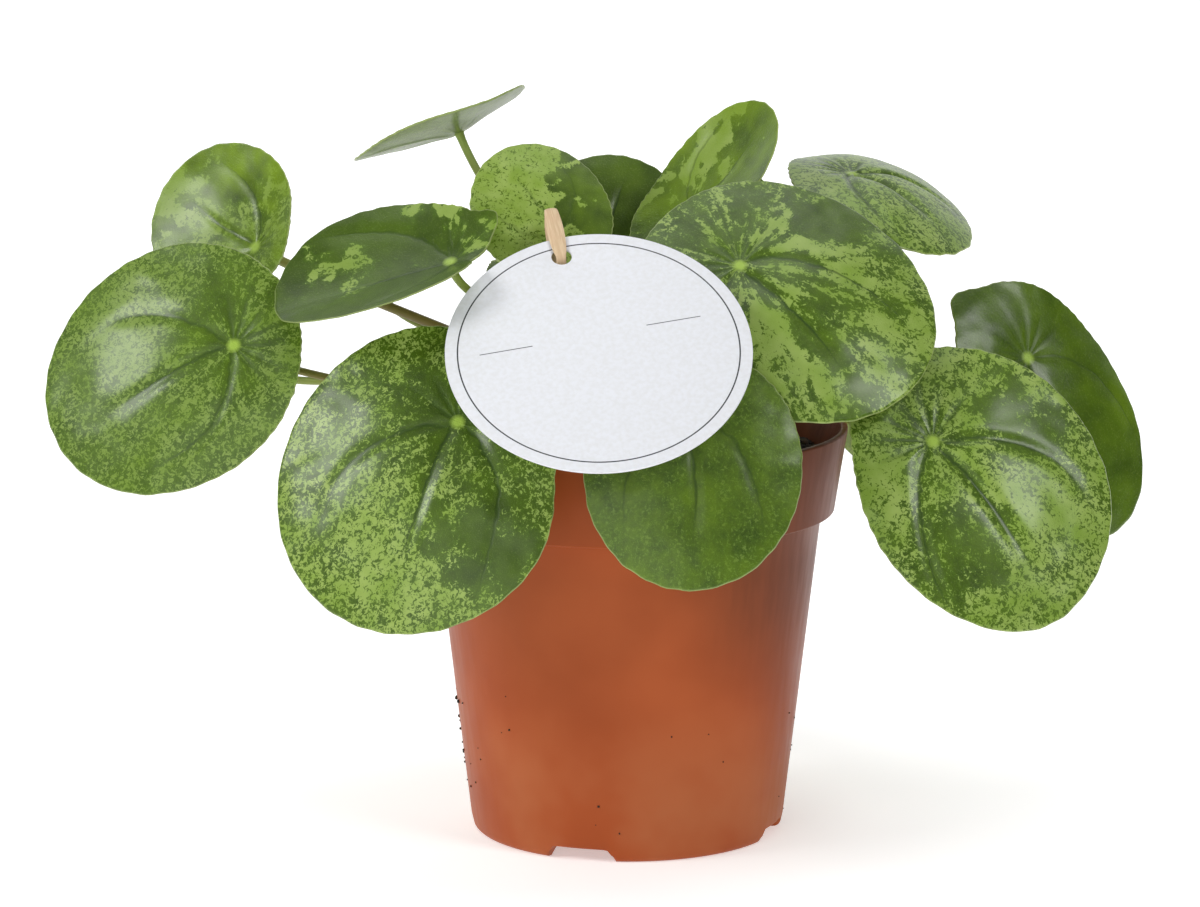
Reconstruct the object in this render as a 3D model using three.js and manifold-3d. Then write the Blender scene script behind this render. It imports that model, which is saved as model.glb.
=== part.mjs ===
// A potted pilea: a round-leaved house plant in its plastic pot, with a hanging card tag.
// Millimetres, +Z up, the front of the plant faces -Y. Every place is given from the
// pot's axis, at the surface the pot stands on; the last lines centre the whole plant.
import * as THREE from 'three';
import { mergeVertices } from 'three/addons/utils/BufferGeometryUtils.js';
import Module from 'manifold-3d';

const wasm = await Module();
wasm.setup();

// Driving dimensions.
const clearance = 0.3; // between pieces that touch on the real plant
const roundSides = 48; // sides of the pot, its soil and the card

const pot = {
  height: 112,
  rimRadius: 60,
  bandHeight: 23,
  bandFootRadius: 56.5,
  bandRound: 0.6,
  lipHeight: 0.7,
  bodyTopRadius: 53,
  footRadius: 42.5,
  footRound: 2.2,
  wall: 1.4,
  floorHeight: 4.6,
  floorThickness: 1.8,
  drainHoles: 6,
  drainRadius: 4.5,
  drainCircle: 25,
  notches: 4,
  notchWidth: 18,
  notchHeight: 3.6,
  notchTurn: -18,
};

const soil = { top: 104, bump: 1.6, wallGap: 0.35, bareRing: 1, rings: [0.86, 0.7, 0.5, 0.3] };
const stem = {
  bottom: 66,
  top: 141,
  radius: 4.6,
  tipRadius: 3.0,
  budHeight: 2.2,
  scars: 7,
  firstScar: 4,
  lastScarToTop: 8,
  scarWidth: 2,
  scarDepth: 0.5,
  sides: 12,
};
const blade = { thickness: 0.9, sides: 24, rings: 4, dimple: 1.4, dimpleSpread: 0.13 };
const stalk = { sides: 6, steps: 9, climb: 35, seatGap: 0.4 };
const card = {
  centre: [-7.8, -62, 142.6],
  radius: 40,
  thickness: 0.7,
  holeRadius: 2.7,
  holeHeight: 33.6,
  lean: 49,
  turn: 17,
};
const loop = { length: 18.4, depth: 5.6, width: 4.0, thickness: 0.8, cornerRadius: 2, turn: 10, drop: 1.1 };

// One row for each leaf. at: where the stalk meets the blade. facing: the way the upper face
// looks, in degrees from the front towards +X. tilt: how far it looks up. turn: the tip's
// turn from straight downhill. seat: how far the stalk sits back from the blade's middle, as
// a share of its length. corners: the outline's corners and bays, each as its direction in degrees
// from the tip, its height as a share of the reach, and its spread in degrees. root: the height on the
// stem that the stalk leaves from. climb: how steeply it leaves. via: places it bends through.
const leaves = [
  { id: '01', at: [-104.5, -34, 139.5], facing: -18, tilt: 26, turn: -70, length: 74, width: 69,
    seat: 0.25, dome: 4, fold: 0, curl: 3, wave: 0.9, phase: 0.4, stalk: 2.2, root: 109, climb: 17 },
  { id: '02', at: [-101, 5, 160], facing: -36, tilt: 27, turn: -112, length: 49, width: 46,
    seat: 0.24, dome: -3, fold: 0, curl: 0, wave: 0.8, phase: 1.9, stalk: 2.8, root: 119, climb: 25 },
  { id: '03', at: [-47, -36, 162], facing: -26, tilt: 62, turn: -54, length: 63, width: 45,
    seat: 0.26, corners: [[210, 0.26, 12], [150, -0.62, 40]], dome: -1, fold: 9, curl: 2, wave: 0.8,
    phase: 2.2, stalk: 2.4, root: 130 },
  { id: '04', at: [-44.5, -62, 124], facing: -14, tilt: 28, turn: -29, length: 83, width: 81,
    seat: 0.2, corners: [[98, -0.16, 26]], dome: 5, fold: 0, curl: 4, wave: 1.2, phase: 0.9,
    stalk: 2.6, root: 116 },
  { id: '05', at: [-46, 14, 190.5], facing: -115, tilt: 66, turn: -10, length: 54, width: 46,
    seat: 0.09, dome: -3, fold: 0, curl: 0, wave: 0.7, phase: 3.1, stalk: 2.3, root: 138 },
  { id: '06', at: [-18.5, -20, 167], facing: 2, tilt: 34, turn: -148, length: 42, width: 37,
    seat: 0.2, dome: 2, fold: 0, curl: 1, wave: 0.6, phase: 1.2, stalk: 2.0, root: 137 },
  { id: '07', at: [-6, 30, 153], facing: 8, tilt: 30, turn: 165, length: 46, width: 44,
    seat: 0.2, dome: 2, fold: 0, curl: 1, wave: 0.6, phase: 2.6, stalk: 2.0, root: 131,
    via: [[-7, 20, 133], [-9, 36, 140]] },
  { id: '08', at: [16.5, 13, 166.5], facing: -56, tilt: 38, turn: 156, length: 54, width: 42,
    seat: 0.2, dome: -4, fold: 0, curl: 0, wave: 0.8, phase: 0.2, stalk: 2.2, root: 138 },
  { id: '09', at: [29.5, -31.5, 160.5], facing: 10, tilt: 44, turn: 57, length: 82, width: 74,
    seat: 0.18, dome: 6.5, fold: 0, curl: 3, wave: 1.1, phase: 1.7, stalk: 2.6, root: 132 },
  { id: '10', at: [61.5, 22, 178], facing: 47, tilt: 69, turn: 10, length: 55, width: 52,
    seat: 0.2, dome: 5, fold: 0, curl: 4, wave: 0.7, phase: 2.4, stalk: 2.2, root: 134 },
  { id: '11', at: [111.5, 34, 124.5], facing: 30, tilt: 22, turn: 20, length: 77, width: 53,
    seat: 0.2, corners: [[202, 0.18, 14]], dome: 4, fold: 0, curl: 2, wave: 0.9, phase: 0.7,
    stalk: 2.4, root: 120 },
  { id: '12', at: [80.5, -42, 115.2], facing: 12, tilt: 29, turn: 36, length: 85, width: 66,
    seat: 0.2, corners: [[80, 0.18, 50], [255, -0.16, 50], [12, -0.06, 22]], dome: 4, fold: 0, curl: 4,
    wave: 1.1, phase: 2.9, stalk: 2.6, root: 121, climb: 42 },
  { id: '13', at: [17, -61, 125], facing: 4, tilt: 24, turn: -3, length: 64, width: 58,
    seat: 0.2, dome: 3, fold: 0, curl: 3, wave: 0.8, phase: 1.4, stalk: 2.4, root: 113 },
  { id: '14', at: [74, 76, 111.5], facing: 138, tilt: 34, turn: -6, length: 67, width: 61,
    seat: 0.2, dome: 4, fold: 0, curl: 3, wave: 1.0, phase: 0.3, stalk: 2.4, root: 117 },
  { id: '15', at: [22, 91, 131], facing: 164, tilt: 38, turn: 8, length: 70, width: 64,
    seat: 0.21, dome: 4, fold: 0, curl: 3, wave: 1.0, phase: 2.1, stalk: 2.4, root: 120, climb: 25 },
  { id: '16', at: [-40, 80, 114], facing: -158, tilt: 38, turn: 4, length: 68, width: 62,
    seat: 0.24, dome: 4, fold: 0, curl: 3, wave: 1.0, phase: 1.1, stalk: 2.4, root: 114, climb: 55 },
  { id: '17', at: [-109, 48, 122], facing: -118, tilt: 32, turn: -8, length: 56, width: 54,
    seat: 0.21, dome: 3, fold: 0, curl: 3, wave: 0.9, phase: 3.0, stalk: 2.3, root: 116, climb: 33 },
  { id: '18', at: [3, 60, 168], facing: 172, tilt: 58, turn: 0, length: 52, width: 48,
    seat: 0.2, dome: 4, fold: 0, curl: 3, wave: 0.8, phase: 0.8, stalk: 2.2, root: 128, climb: 6 },
  { id: '19', at: [28, 32, 157.5], facing: 20, tilt: 40, turn: 165, length: 34, width: 30,
    seat: 0.18, dome: -2, fold: 0, curl: 0, wave: 0.4, phase: 1.6, stalk: 1.8, root: 127 },
  { id: '20', at: [-32, -34, 158], facing: -60, tilt: -10, turn: 0, length: 16, width: 14,
    seat: 0.18, dome: -1, fold: 0, curl: 0, wave: 0.3, phase: 0.6, stalk: 1.6, root: 134,
    via: [[-8, -30, 154], [-14, -32.5, 164.7], [-23, -33.2, 164.4]] },
  { id: '21', at: [-73, 45, 149], facing: -150, tilt: 64, turn: 6, length: 42, width: 40,
    seat: 0.2, dome: 4, fold: 0, curl: 3, wave: 0.8, phase: 2.7, stalk: 2.2, root: 123.5, climb: 10 },
  { id: '22', at: [58, 56, 150], facing: 126, tilt: 46, turn: -8, length: 56, width: 51,
    seat: 0.2, dome: 4, fold: 0, curl: 3, wave: 0.8, phase: 0.2, stalk: 2.2, root: 130 },
];

const radians = THREE.MathUtils.degToRad;

// Pieces' finishes.
const finish = (color, roughness) => new THREE.MeshStandardMaterial({ color, roughness, metalness: 0 });
const finishes = {
  pot: () => finish('#b0603c', 0.5),
  soil: () => finish('#3a2c22', 0.95),
  stem: () => finish('#7d6b45', 0.7),
  blade: () => finish('#5b8437', 0.4),
  stalk: () => finish('#8b8f4a', 0.5),
  card: () => finish('#eef0f4', 0.6),
  loop: () => finish('#d8c39c', 0.7),
};

const whole = new THREE.Group();

function add(name, geometry, material, group = whole) {
  const mesh = new THREE.Mesh(geometry, material);
  mesh.name = name;
  group.add(mesh);
  return mesh;
}

// Solids for cutting with manifold-3d.
function toSolid(geometry) {
  const plain = geometry.clone();
  plain.deleteAttribute('normal');
  plain.deleteAttribute('uv');
  const merged = mergeVertices(plain, 1e-4);
  return new wasm.Manifold(new wasm.Mesh({
    numProp: 3,
    vertProperties: new Float32Array(merged.getAttribute('position').array),
    triVerts: new Uint32Array(merged.index.array),
  }));
}

function fromSolid(solid) {
  const mesh = solid.getMesh();
  const geometry = new THREE.BufferGeometry();
  geometry.setAttribute('position', new THREE.BufferAttribute(new Float32Array(mesh.vertProperties), 3));
  geometry.setIndex(new THREE.BufferAttribute(new Uint32Array(mesh.triVerts), 1));
  geometry.computeVertexNormals();
  return geometry;
}

// A lathe turned about +Z from [radius, height] points that start and end on the axis.
function turned(points, sides) {
  const profile = points.map(([radius, height]) => new THREE.Vector2(radius, height));
  return new THREE.LatheGeometry(profile, sides).rotateX(Math.PI / 2);
}

const sloped = (low, high, share) => low + (high - low) * share;

// The pot's inner radius at a height.
function innerRadius(height) {
  const bodyTop = pot.height - pot.bandHeight;
  const outer = height < bodyTop
    ? sloped(pot.footRadius, pot.bodyTopRadius, height / bodyTop)
    : sloped(pot.bodyTopRadius, pot.rimRadius - pot.wall, (height - bodyTop) / pot.bandHeight);
  return outer - pot.wall;
}

function potGeometry() {
  const bodyTop = pot.height - pot.bandHeight;
  const floorTop = pot.floorHeight + pot.floorThickness;
  const outside = (height) => sloped(pot.footRadius, pot.bodyTopRadius, height / bodyTop);
  const footInside = pot.footRadius - pot.footRound - pot.wall;
  const lipRadius = pot.rimRadius - pot.bandRound;
  const heel = 0.3 * pot.footRound; // the middle of the foot's rounding
  const shell = turned([
    [0, pot.floorHeight],
    [footInside, pot.floorHeight],
    [footInside, 0],
    [pot.footRadius - pot.footRound, 0],
    [outside(heel) - heel, heel],
    [outside(pot.footRound), pot.footRound],
    [pot.bodyTopRadius, bodyTop],
    [pot.bandFootRadius - pot.bandRound, bodyTop],
    [pot.bandFootRadius, bodyTop + pot.bandRound],
    [pot.rimRadius, pot.height - pot.lipHeight],
    [lipRadius, pot.height],
    [lipRadius - pot.wall, pot.height],
    [innerRadius(bodyTop), bodyTop],
    [innerRadius(floorTop), floorTop],
    [0, floorTop],
  ], roundSides);
  let solid = toSolid(shell);
  for (let i = 0; i < pot.drainHoles; i += 1) {
    const angle = (i + 0.5) * 2 * Math.PI / pot.drainHoles;
    const hole = new THREE.CylinderGeometry(pot.drainRadius, pot.drainRadius, 4 * pot.floorThickness, 16);
    const centre = new THREE.Vector3(
      pot.drainCircle * Math.cos(angle),
      pot.drainCircle * Math.sin(angle),
      pot.floorHeight + pot.floorThickness / 2,
    );
    hole.rotateX(Math.PI / 2).translate(centre.x, centre.y, centre.z);
    solid = solid.subtract(toSolid(hole));
  }
  for (let i = 0; i < pot.notches; i += 1) {
    const notch = new THREE.BoxGeometry(pot.notchWidth, 4 * (pot.footRound + pot.wall), 2 * pot.notchHeight);
    notch.translate(0, -pot.footRadius, 0);
    notch.rotateZ(radians(pot.notchTurn) + i * 2 * Math.PI / pot.notches);
    solid = solid.subtract(toSolid(notch));
  }
  return fromSolid(solid);
}

function soilGeometry() {
  const floorTop = pot.floorHeight + pot.floorThickness;
  const bodyTop = pot.height - pot.bandHeight;
  const holeRadius = stem.radius + clearance;
  const edge = innerRadius(soil.top) - soil.wallGap;
  const geometry = turned([
    [0, floorTop + clearance],
    [innerRadius(floorTop + clearance) - soil.wallGap, floorTop + clearance],
    [innerRadius(bodyTop) - soil.wallGap, bodyTop],
    [edge, soil.top - soil.bump],
    ...soil.rings.map((share) => [share * edge, soil.top]),
    [holeRadius, soil.top],
    [holeRadius, stem.bottom - clearance],
    [0, stem.bottom - clearance],
  ], roundSides);
  // Crumbs of the potting mix: low bumps on the rings between the hole and the wall.
  const place = geometry.getAttribute('position');
  for (let i = 0; i < place.count; i += 1) {
    const radius = Math.hypot(place.getX(i), place.getY(i));
    if (place.getZ(i) < soil.top - soil.bump / 2 || radius < holeRadius + soil.bareRing) continue;
    const angle = Math.atan2(place.getY(i), place.getX(i));
    const bump = Math.sin(7 * angle + radius) * Math.cos(5 * angle - 0.7 * radius);
    place.setZ(i, soil.top + soil.bump * bump);
  }
  return geometry;
}

// The stem is thickest at the soil and ringed by the scars of fallen leaves.
function stemRadius(height) {
  const share = THREE.MathUtils.clamp((height - soil.top) / (stem.top - soil.top), 0, 1);
  return sloped(stem.radius, stem.tipRadius, share);
}

function stemGeometry() {
  const points = [[0, stem.bottom], [stem.radius, stem.bottom], [stem.radius, soil.top + stem.firstScar / 2]];
  const scarred = stem.top - soil.top - stem.lastScarToTop;
  for (let i = 0; i < stem.scars; i += 1) {
    const scarFoot = soil.top + stem.firstScar + scarred * i / stem.scars;
    const scarTop = scarFoot + stem.scarWidth;
    points.push([stemRadius(scarFoot) - stem.scarDepth, scarFoot], [stemRadius(scarTop), scarTop]);
  }
  points.push([stem.tipRadius, stem.top - stem.budHeight]);
  points.push([0.6 * stem.tipRadius, stem.top - 0.3 * stem.budHeight], [0, stem.top]);
  return turned(points, stem.sides);
}

// A leaf's own axes: along to its tip, across it, and out of its upper face.
function leafAxes(leaf) {
  const [facing, tilt, turn] = [leaf.facing, leaf.tilt, leaf.turn].map(radians);
  const outward = new THREE.Vector3(Math.sin(facing), -Math.cos(facing), 0);
  const up = new THREE.Vector3(0, 0, 1);
  const normal = outward.clone().multiplyScalar(Math.cos(tilt)).addScaledVector(up, Math.sin(tilt));
  const downhill = outward.clone().multiplyScalar(Math.sin(tilt)).addScaledVector(up, -Math.cos(tilt));
  const sideways = new THREE.Vector3().crossVectors(normal, downhill);
  const along = downhill.multiplyScalar(Math.cos(turn)).addScaledVector(sideways, Math.sin(turn));
  const across = new THREE.Vector3().crossVectors(normal, along);
  return { along, across, normal };
}

// How far the outline's corners and bays change the reach, as a share of it.
function bladeCorners(leaf, angle) {
  return (leaf.corners ?? []).reduce((sum, [direction, height, spread]) => {
    const turned = THREE.MathUtils.radToDeg(angle) - direction;
    const away = THREE.MathUtils.euclideanModulo(turned + 180, 360) - 180;
    return sum + height * Math.exp(-((away / spread) ** 2));
  }, 0);
}

// The distance from the stalk's seat to the blade's edge: a round outline that is a little
// uneven, with the seat set back from its middle.
function bladeReach(leaf, angle) {
  const [long, wide, offset] = [leaf.length / 2, leaf.width / 2, leaf.seat * leaf.length];
  const [c, s] = [Math.cos(angle), Math.sin(angle)];
  const a = (c / long) ** 2 + (s / wide) ** 2;
  const b = -2 * c * offset / long ** 2;
  const d = (offset / long) ** 2 - 1;
  const reach = (-b + Math.sqrt(b * b - 4 * a * d)) / (2 * a);
  const uneven = 0.012 * Math.sin(2 * angle + leaf.phase) + 0.01 * Math.sin(3 * angle + 2 * leaf.phase);
  return reach * (1 + uneven + bladeCorners(leaf, angle));
}

// The blade's rise out of its flat plane: domed or cupped, folded along the midrib, its tip
// curled down, dished where the stalk meets it, and waved along the edge.
function bladeRise(leaf, u, v, share, angle) {
  const x = 2 * u / leaf.length - 2 * leaf.seat;
  const y = 2 * v / leaf.width;
  const domed = -leaf.dome * (x * x + y * y);
  const folded = leaf.fold * Math.sqrt(y * y + 0.05);
  const curled = -2 * leaf.curl * (Math.max(u, 0) / leaf.length) ** 2;
  const dished = -blade.dimple * Math.exp(-(u * u + v * v) / (blade.dimpleSpread * leaf.length) ** 2);
  const waved = leaf.wave * share ** 3 * Math.sin(3 * angle + leaf.phase);
  return domed + folded + curled + dished + waved;
}

function bladeGeometry(leaf) {
  const { along, across, normal } = leafAxes(leaf);
  const seat = new THREE.Vector3(...leaf.at);
  const restRise = bladeRise(leaf, 0, 0, 0, 0);
  const points = [];
  const place = (share, angle, side) => {
    const reach = bladeReach(leaf, angle) * share;
    const [u, v] = [reach * Math.cos(angle), reach * Math.sin(angle)];
    const rise = bladeRise(leaf, u, v, share, angle) - restRise + side * blade.thickness / 2;
    const flat = seat.clone().addScaledVector(along, u).addScaledVector(across, v);
    points.push(flat.addScaledVector(normal, rise));
  };
  for (const side of [1, -1]) {
    place(0, 0, side);
    for (let ring = 1; ring <= blade.rings; ring += 1) {
      for (let i = 0; i < blade.sides; i += 1) {
        place(ring / blade.rings, 2 * Math.PI * i / blade.sides, side);
      }
    }
  }
  // Both faces are split into triangles alike, so that a waved blade never crosses itself.
  const faceSize = 1 + blade.rings * blade.sides;
  const faces = [];
  const upper = (a, b, c) => faces.push(a, b, c, faceSize + a, faceSize + c, faceSize + b);
  const at = (ring, i) => 1 + (ring - 1) * blade.sides + i % blade.sides;
  for (let i = 0; i < blade.sides; i += 1) {
    upper(0, at(1, i), at(1, i + 1));
    for (let ring = 1; ring < blade.rings; ring += 1) {
      upper(at(ring, i), at(ring + 1, i), at(ring + 1, i + 1));
      upper(at(ring, i), at(ring + 1, i + 1), at(ring, i + 1));
    }
    const [a, b] = [at(blade.rings, i), at(blade.rings, i + 1)];
    faces.push(a, faceSize + a, faceSize + b, a, faceSize + b, b);
  }
  const geometry = new THREE.BufferGeometry().setFromPoints(points);
  geometry.setIndex(faces);
  geometry.computeVertexNormals();
  return geometry;
}

// A stalk leaves the stem outwards and upwards, and meets its blade square from below.
function stalkCurve(leaf) {
  const seat = new THREE.Vector3(...leaf.at);
  const { normal } = leafAxes(leaf);
  const bearing = new THREE.Vector3(seat.x, seat.y, 0).normalize();
  const climb = radians(leaf.climb ?? stalk.climb);
  const radius = leaf.stalk / 2;
  const start = bearing.clone().multiplyScalar(stemRadius(leaf.root) + clearance + radius * Math.sin(climb));
  start.z = leaf.root;
  const end = seat.clone().addScaledVector(normal, -(blade.thickness / 2 + stalk.seatGap));
  const leave = bearing.multiplyScalar(Math.cos(climb)).add(new THREE.Vector3(0, 0, Math.sin(climb)));
  if (leaf.via) {
    const bends = leaf.via.map((place) => new THREE.Vector3(...place));
    const first = start.clone().addScaledVector(leave, 4);
    const last = end.clone().addScaledVector(normal, -3);
    return new THREE.CatmullRomCurve3([start, first, ...bends, last, end]);
  }
  const span = start.distanceTo(end);
  const first = start.clone().addScaledVector(leave, 0.35 * span);
  const last = end.clone().addScaledVector(normal, -0.25 * span);
  return new THREE.CubicBezierCurve3(start, first, last, end);
}

function stalkGeometry(leaf) {
  const section = new THREE.Shape();
  section.setFromPoints(Array.from({ length: stalk.sides }, (_, i) => {
    const angle = 2 * Math.PI * i / stalk.sides;
    return new THREE.Vector2(Math.cos(angle), Math.sin(angle)).multiplyScalar(leaf.stalk / 2);
  }));
  const steps = leaf.via ? 2 * stalk.steps : stalk.steps;
  return new THREE.ExtrudeGeometry(section, { extrudePath: stalkCurve(leaf), steps });
}

// The card: a disc with a hole near its top, in its own plane with its centre at the origin.
function cardGeometry() {
  const outline = new THREE.Shape().absarc(0, 0, card.radius, 0, 2 * Math.PI);
  outline.holes.push(new THREE.Path().absarc(0, card.holeHeight, card.holeRadius, 0, 2 * Math.PI, true));
  return new THREE.ExtrudeGeometry(outline, {
    depth: card.thickness, bevelEnabled: false, curveSegments: roundSides / 2,
  }).translate(0, 0, -card.thickness / 2);
}

// The loop: a flat band bent into a long ring, square to the card. Its lower end goes
// through the hole, and the stalk of a young leaf goes through it behind the card.
function loopGeometry() {
  const ring = (length, depth, corner) => {
    const path = new THREE.Shape();
    const [x, y] = [length / 2 - corner, depth / 2 - corner];
    path.absarc(x, -y, corner, -Math.PI / 2, 0);
    path.absarc(x, y, corner, 0, Math.PI / 2);
    path.absarc(-x, y, corner, Math.PI / 2, Math.PI);
    path.absarc(-x, -y, corner, Math.PI, 1.5 * Math.PI);
    return path;
  };
  const outline = ring(loop.length, loop.depth, loop.cornerRadius);
  const walls = 2 * loop.thickness;
  outline.holes.push(ring(loop.length - walls, loop.depth - walls, loop.cornerRadius - loop.thickness));
  const geometry = new THREE.ExtrudeGeometry(outline, {
    depth: loop.width, bevelEnabled: false, curveSegments: 4,
  });
  geometry.translate(loop.length / 2, 0, -loop.width / 2);
  const [x, y, z] = [new THREE.Vector3(1, 0, 0), new THREE.Vector3(0, 1, 0), new THREE.Vector3(0, 0, 1)];
  return geometry.applyMatrix4(new THREE.Matrix4().makeBasis(y, z, x));
}

add('pot', potGeometry(), finishes.pot());
add('soil', soilGeometry(), finishes.soil());
add('stem', stemGeometry(), finishes.stem());
for (const leaf of leaves) {
  add(`leaf_${leaf.id}_blade`, bladeGeometry(leaf), finishes.blade());
  add(`leaf_${leaf.id}_stalk`, stalkGeometry(leaf), finishes.stalk());
}

// The card leans back on the leaves at the front.
const tag = new THREE.Group();
tag.position.set(...card.centre);
tag.rotation.x = radians(90 - card.lean);
const tagCard = add('tag_card', cardGeometry(), finishes.card(), tag);
tagCard.rotation.z = radians(card.turn);
const tagLoop = add('tag_loop', loopGeometry(), finishes.loop(), tag);
const cardHole = new THREE.Vector3(0, card.holeHeight, 0).applyEuler(tagCard.rotation);
const loopFront = card.thickness / 2 + clearance + loop.thickness;
tagLoop.rotation.z = radians(loop.turn);
tagLoop.position.set(cardHole.x, cardHole.y - loop.drop, loopFront - loop.depth / 2);
whole.add(tag);

// The origin is the bottom centre of the whole plant's box.
whole.updateMatrixWorld(true);
const box = new THREE.Box3().setFromObject(whole, true);
const middle = box.getCenter(new THREE.Vector3());
whole.position.set(-middle.x, -middle.y, 0);

export default whole;
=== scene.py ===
"""The looks of a potted pilea: a round-leaved marbled house plant in a plastic nursery pot, with a card tag.

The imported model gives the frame. Every new piece takes its place from the same sizes as the model, in
millimetres from the pot's axis and the surface that the pot stands on, and is made in metres in the frame.
"""

import logging
import math
import random
from collections.abc import Callable, Sequence
from dataclasses import dataclass
from enum import Enum
from functools import partial
from typing import ClassVar

import bmesh
import bpy
from bmesh.types import BMEdge, BMesh, BMVert
from mathutils import Matrix, Vector, noise


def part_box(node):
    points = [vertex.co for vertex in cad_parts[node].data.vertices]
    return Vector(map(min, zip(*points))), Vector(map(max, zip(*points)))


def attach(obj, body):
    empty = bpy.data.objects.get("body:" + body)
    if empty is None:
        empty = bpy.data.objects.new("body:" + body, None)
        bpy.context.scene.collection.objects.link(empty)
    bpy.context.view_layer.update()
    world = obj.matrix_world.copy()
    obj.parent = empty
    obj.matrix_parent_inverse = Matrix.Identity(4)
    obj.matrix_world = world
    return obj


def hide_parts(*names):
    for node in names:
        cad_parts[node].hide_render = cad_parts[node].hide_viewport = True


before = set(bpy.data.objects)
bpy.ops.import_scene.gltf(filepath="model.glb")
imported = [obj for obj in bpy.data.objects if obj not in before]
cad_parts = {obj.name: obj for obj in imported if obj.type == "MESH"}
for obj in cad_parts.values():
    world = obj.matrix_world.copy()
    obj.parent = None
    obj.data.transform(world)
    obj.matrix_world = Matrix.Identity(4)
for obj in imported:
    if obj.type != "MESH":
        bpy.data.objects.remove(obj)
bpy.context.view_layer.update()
LOG = logging.getLogger("pilea")

MM = 0.001
NOISE_SEED = 7  # unseeded, noise_vector starts from the clock and changes from run to run

noise.seed_set(NOISE_SEED)


def pot_axis() -> Vector:
    """Gives the point in metres where the pot's axis meets the surface that it stands on."""
    low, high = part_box("pot")
    return Vector(((low.x + high.x) / 2, (low.y + high.y) / 2, 0))


AXIS = pot_axis()
TO_FRAME = Matrix.Translation(AXIS) @ Matrix.Scale(MM, 4)
ANY_TURN = 6.28  # a full turn in radians, for pieces that lie as they fell
MIX = {"out": 2, "data_type": "RGBA"}  # mixes colours at its inputs 6 and 7 by the share at input 0
SMOOTH = {"interpolation_type": "SMOOTHSTEP"}
Point = tuple[float, float]
Inputs = dict[int | str, object] | Sequence[object]
AddNode = Callable[..., bpy.types.NodeSocket]


def linear(code: str) -> tuple[float, float, float, float]:
    """Turns an sRGB colour into linear light.

    Args:
        code: six hex digits, with or without a leading #.

    Returns:
        Linear red, green and blue, and an alpha of 1.
    """
    digits = code.lstrip("#")
    parts = [int(digits[i : i + 2], 16) / 255 for i in (0, 2, 4)]
    red, green, blue = (p / 12.92 if p <= 0.04045 else ((p + 0.055) / 1.055) ** 2.4 for p in parts)
    return red, green, blue, 1.0


def set_inputs(node: bpy.types.Node, inputs: Inputs) -> None:
    """Sets or links a node's inputs.

    Args:
        node: the node.
        inputs: a value, a colour's sRGB code or another node's socket for each input, in their order or by
            name or number.
    """
    pairs = inputs.items() if isinstance(inputs, dict) else enumerate(inputs)
    for key, value in pairs:
        if isinstance(value, bpy.types.NodeSocket):
            node.id_data.links.new(value, node.inputs[key])
        else:
            node.inputs[key].default_value = linear(value) if isinstance(value, str) else value


def add_node(
    tree: bpy.types.NodeTree, kind: str, inputs: Inputs = (), out: int | str = 0, **settings: object
) -> bpy.types.NodeSocket:
    """Adds a shader node with its settings and links.

    Args:
        tree: the node tree that it joins.
        kind: the node's type name, without its first word.
        inputs: what its inputs get, as in set_inputs.
        out: which of its outputs is wanted, by name or number.
        **settings: the node's properties.

    Returns:
        The wanted output.
    """
    node = tree.nodes.new(f"ShaderNode{kind}")
    for name, value in settings.items():
        setattr(node, name, value)
    set_inputs(node, inputs)
    return node.outputs[out]


def add_object(name: str, data: bpy.types.ID) -> bpy.types.Object:
    """Adds an object with its data to the scene."""
    thing = bpy.data.objects.new(name, data)
    bpy.context.scene.collection.objects.link(thing)
    return thing


def add_mesh(name: str, bm: BMesh) -> bpy.types.Object:
    """Adds an object made of a bmesh in the frame's metres, and frees the bmesh."""
    mesh = bpy.data.meshes.new(name)
    bm.to_mesh(mesh)
    bm.free()
    return add_object(name, mesh)


def smooth_step(low: float, high: float, value: float) -> float:
    """Rises smoothly from 0 at low to 1 at high."""
    share = min(max((value - low) / (high - low), 0.0), 1.0)
    return share * share * (3 - 2 * share)


class Body(Enum):
    """The frame's bodies. The plant has no joints, so there is one."""

    ROOT = "root"


def finish_piece(name: str, bm: BMesh, look: "Finish", nodes: list[str], sharp: float) -> bpy.types.Object:
    """Makes a finished piece of a bmesh in millimetres from the pot's axis, and hands it to the frame.

    Args:
        name: the piece's name.
        bm: its mesh, which is freed.
        look: its finish.
        nodes: the model's nodes that it stands for.
        sharp: the angle in degrees above which an edge stays sharp.

    Returns:
        The new object, at the origin, with its place in its mesh.
    """
    bmesh.ops.transform(bm, matrix=TO_FRAME, verts=bm.verts)
    if bm.calc_volume(signed=True) < 0:
        bmesh.ops.reverse_faces(bm, faces=bm.faces)
    piece = add_mesh(name, bm)
    mesh = piece.data
    mesh.polygons.foreach_set("use_smooth", [True] * len(mesh.polygons))
    mesh.set_sharp_from_angle(angle=math.radians(sharp))
    mesh.materials.append(look.material())
    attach(piece, Body.ROOT.value)
    if nodes:
        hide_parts(*nodes)
    LOG.info("%s: %d faces, %s", name, len(mesh.polygons), look.name)
    return piece


# Finishes.


class Finish:
    """A surface that is made into a material once and then shared."""

    name: str = "plain"
    slot: str = ""

    def material(self) -> bpy.types.Material:
        """Gives the finish's material, and makes it the first time."""
        made = bpy.data.materials.get(self.name)
        if made:
            return made
        made = bpy.data.materials.new(self.name)
        made.use_nodes = True
        tree = made.node_tree
        set_inputs(tree.nodes["Principled BSDF"], self.dress(partial(add_node, tree)))
        return made

    def dress(self, add: AddNode) -> Inputs:
        """Adds the material's nodes.

        Args:
            add: adds a node to the material's tree, as add_node does.

        Returns:
            What the inputs of its Principled shader get.
        """
        raise NotImplementedError


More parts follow.
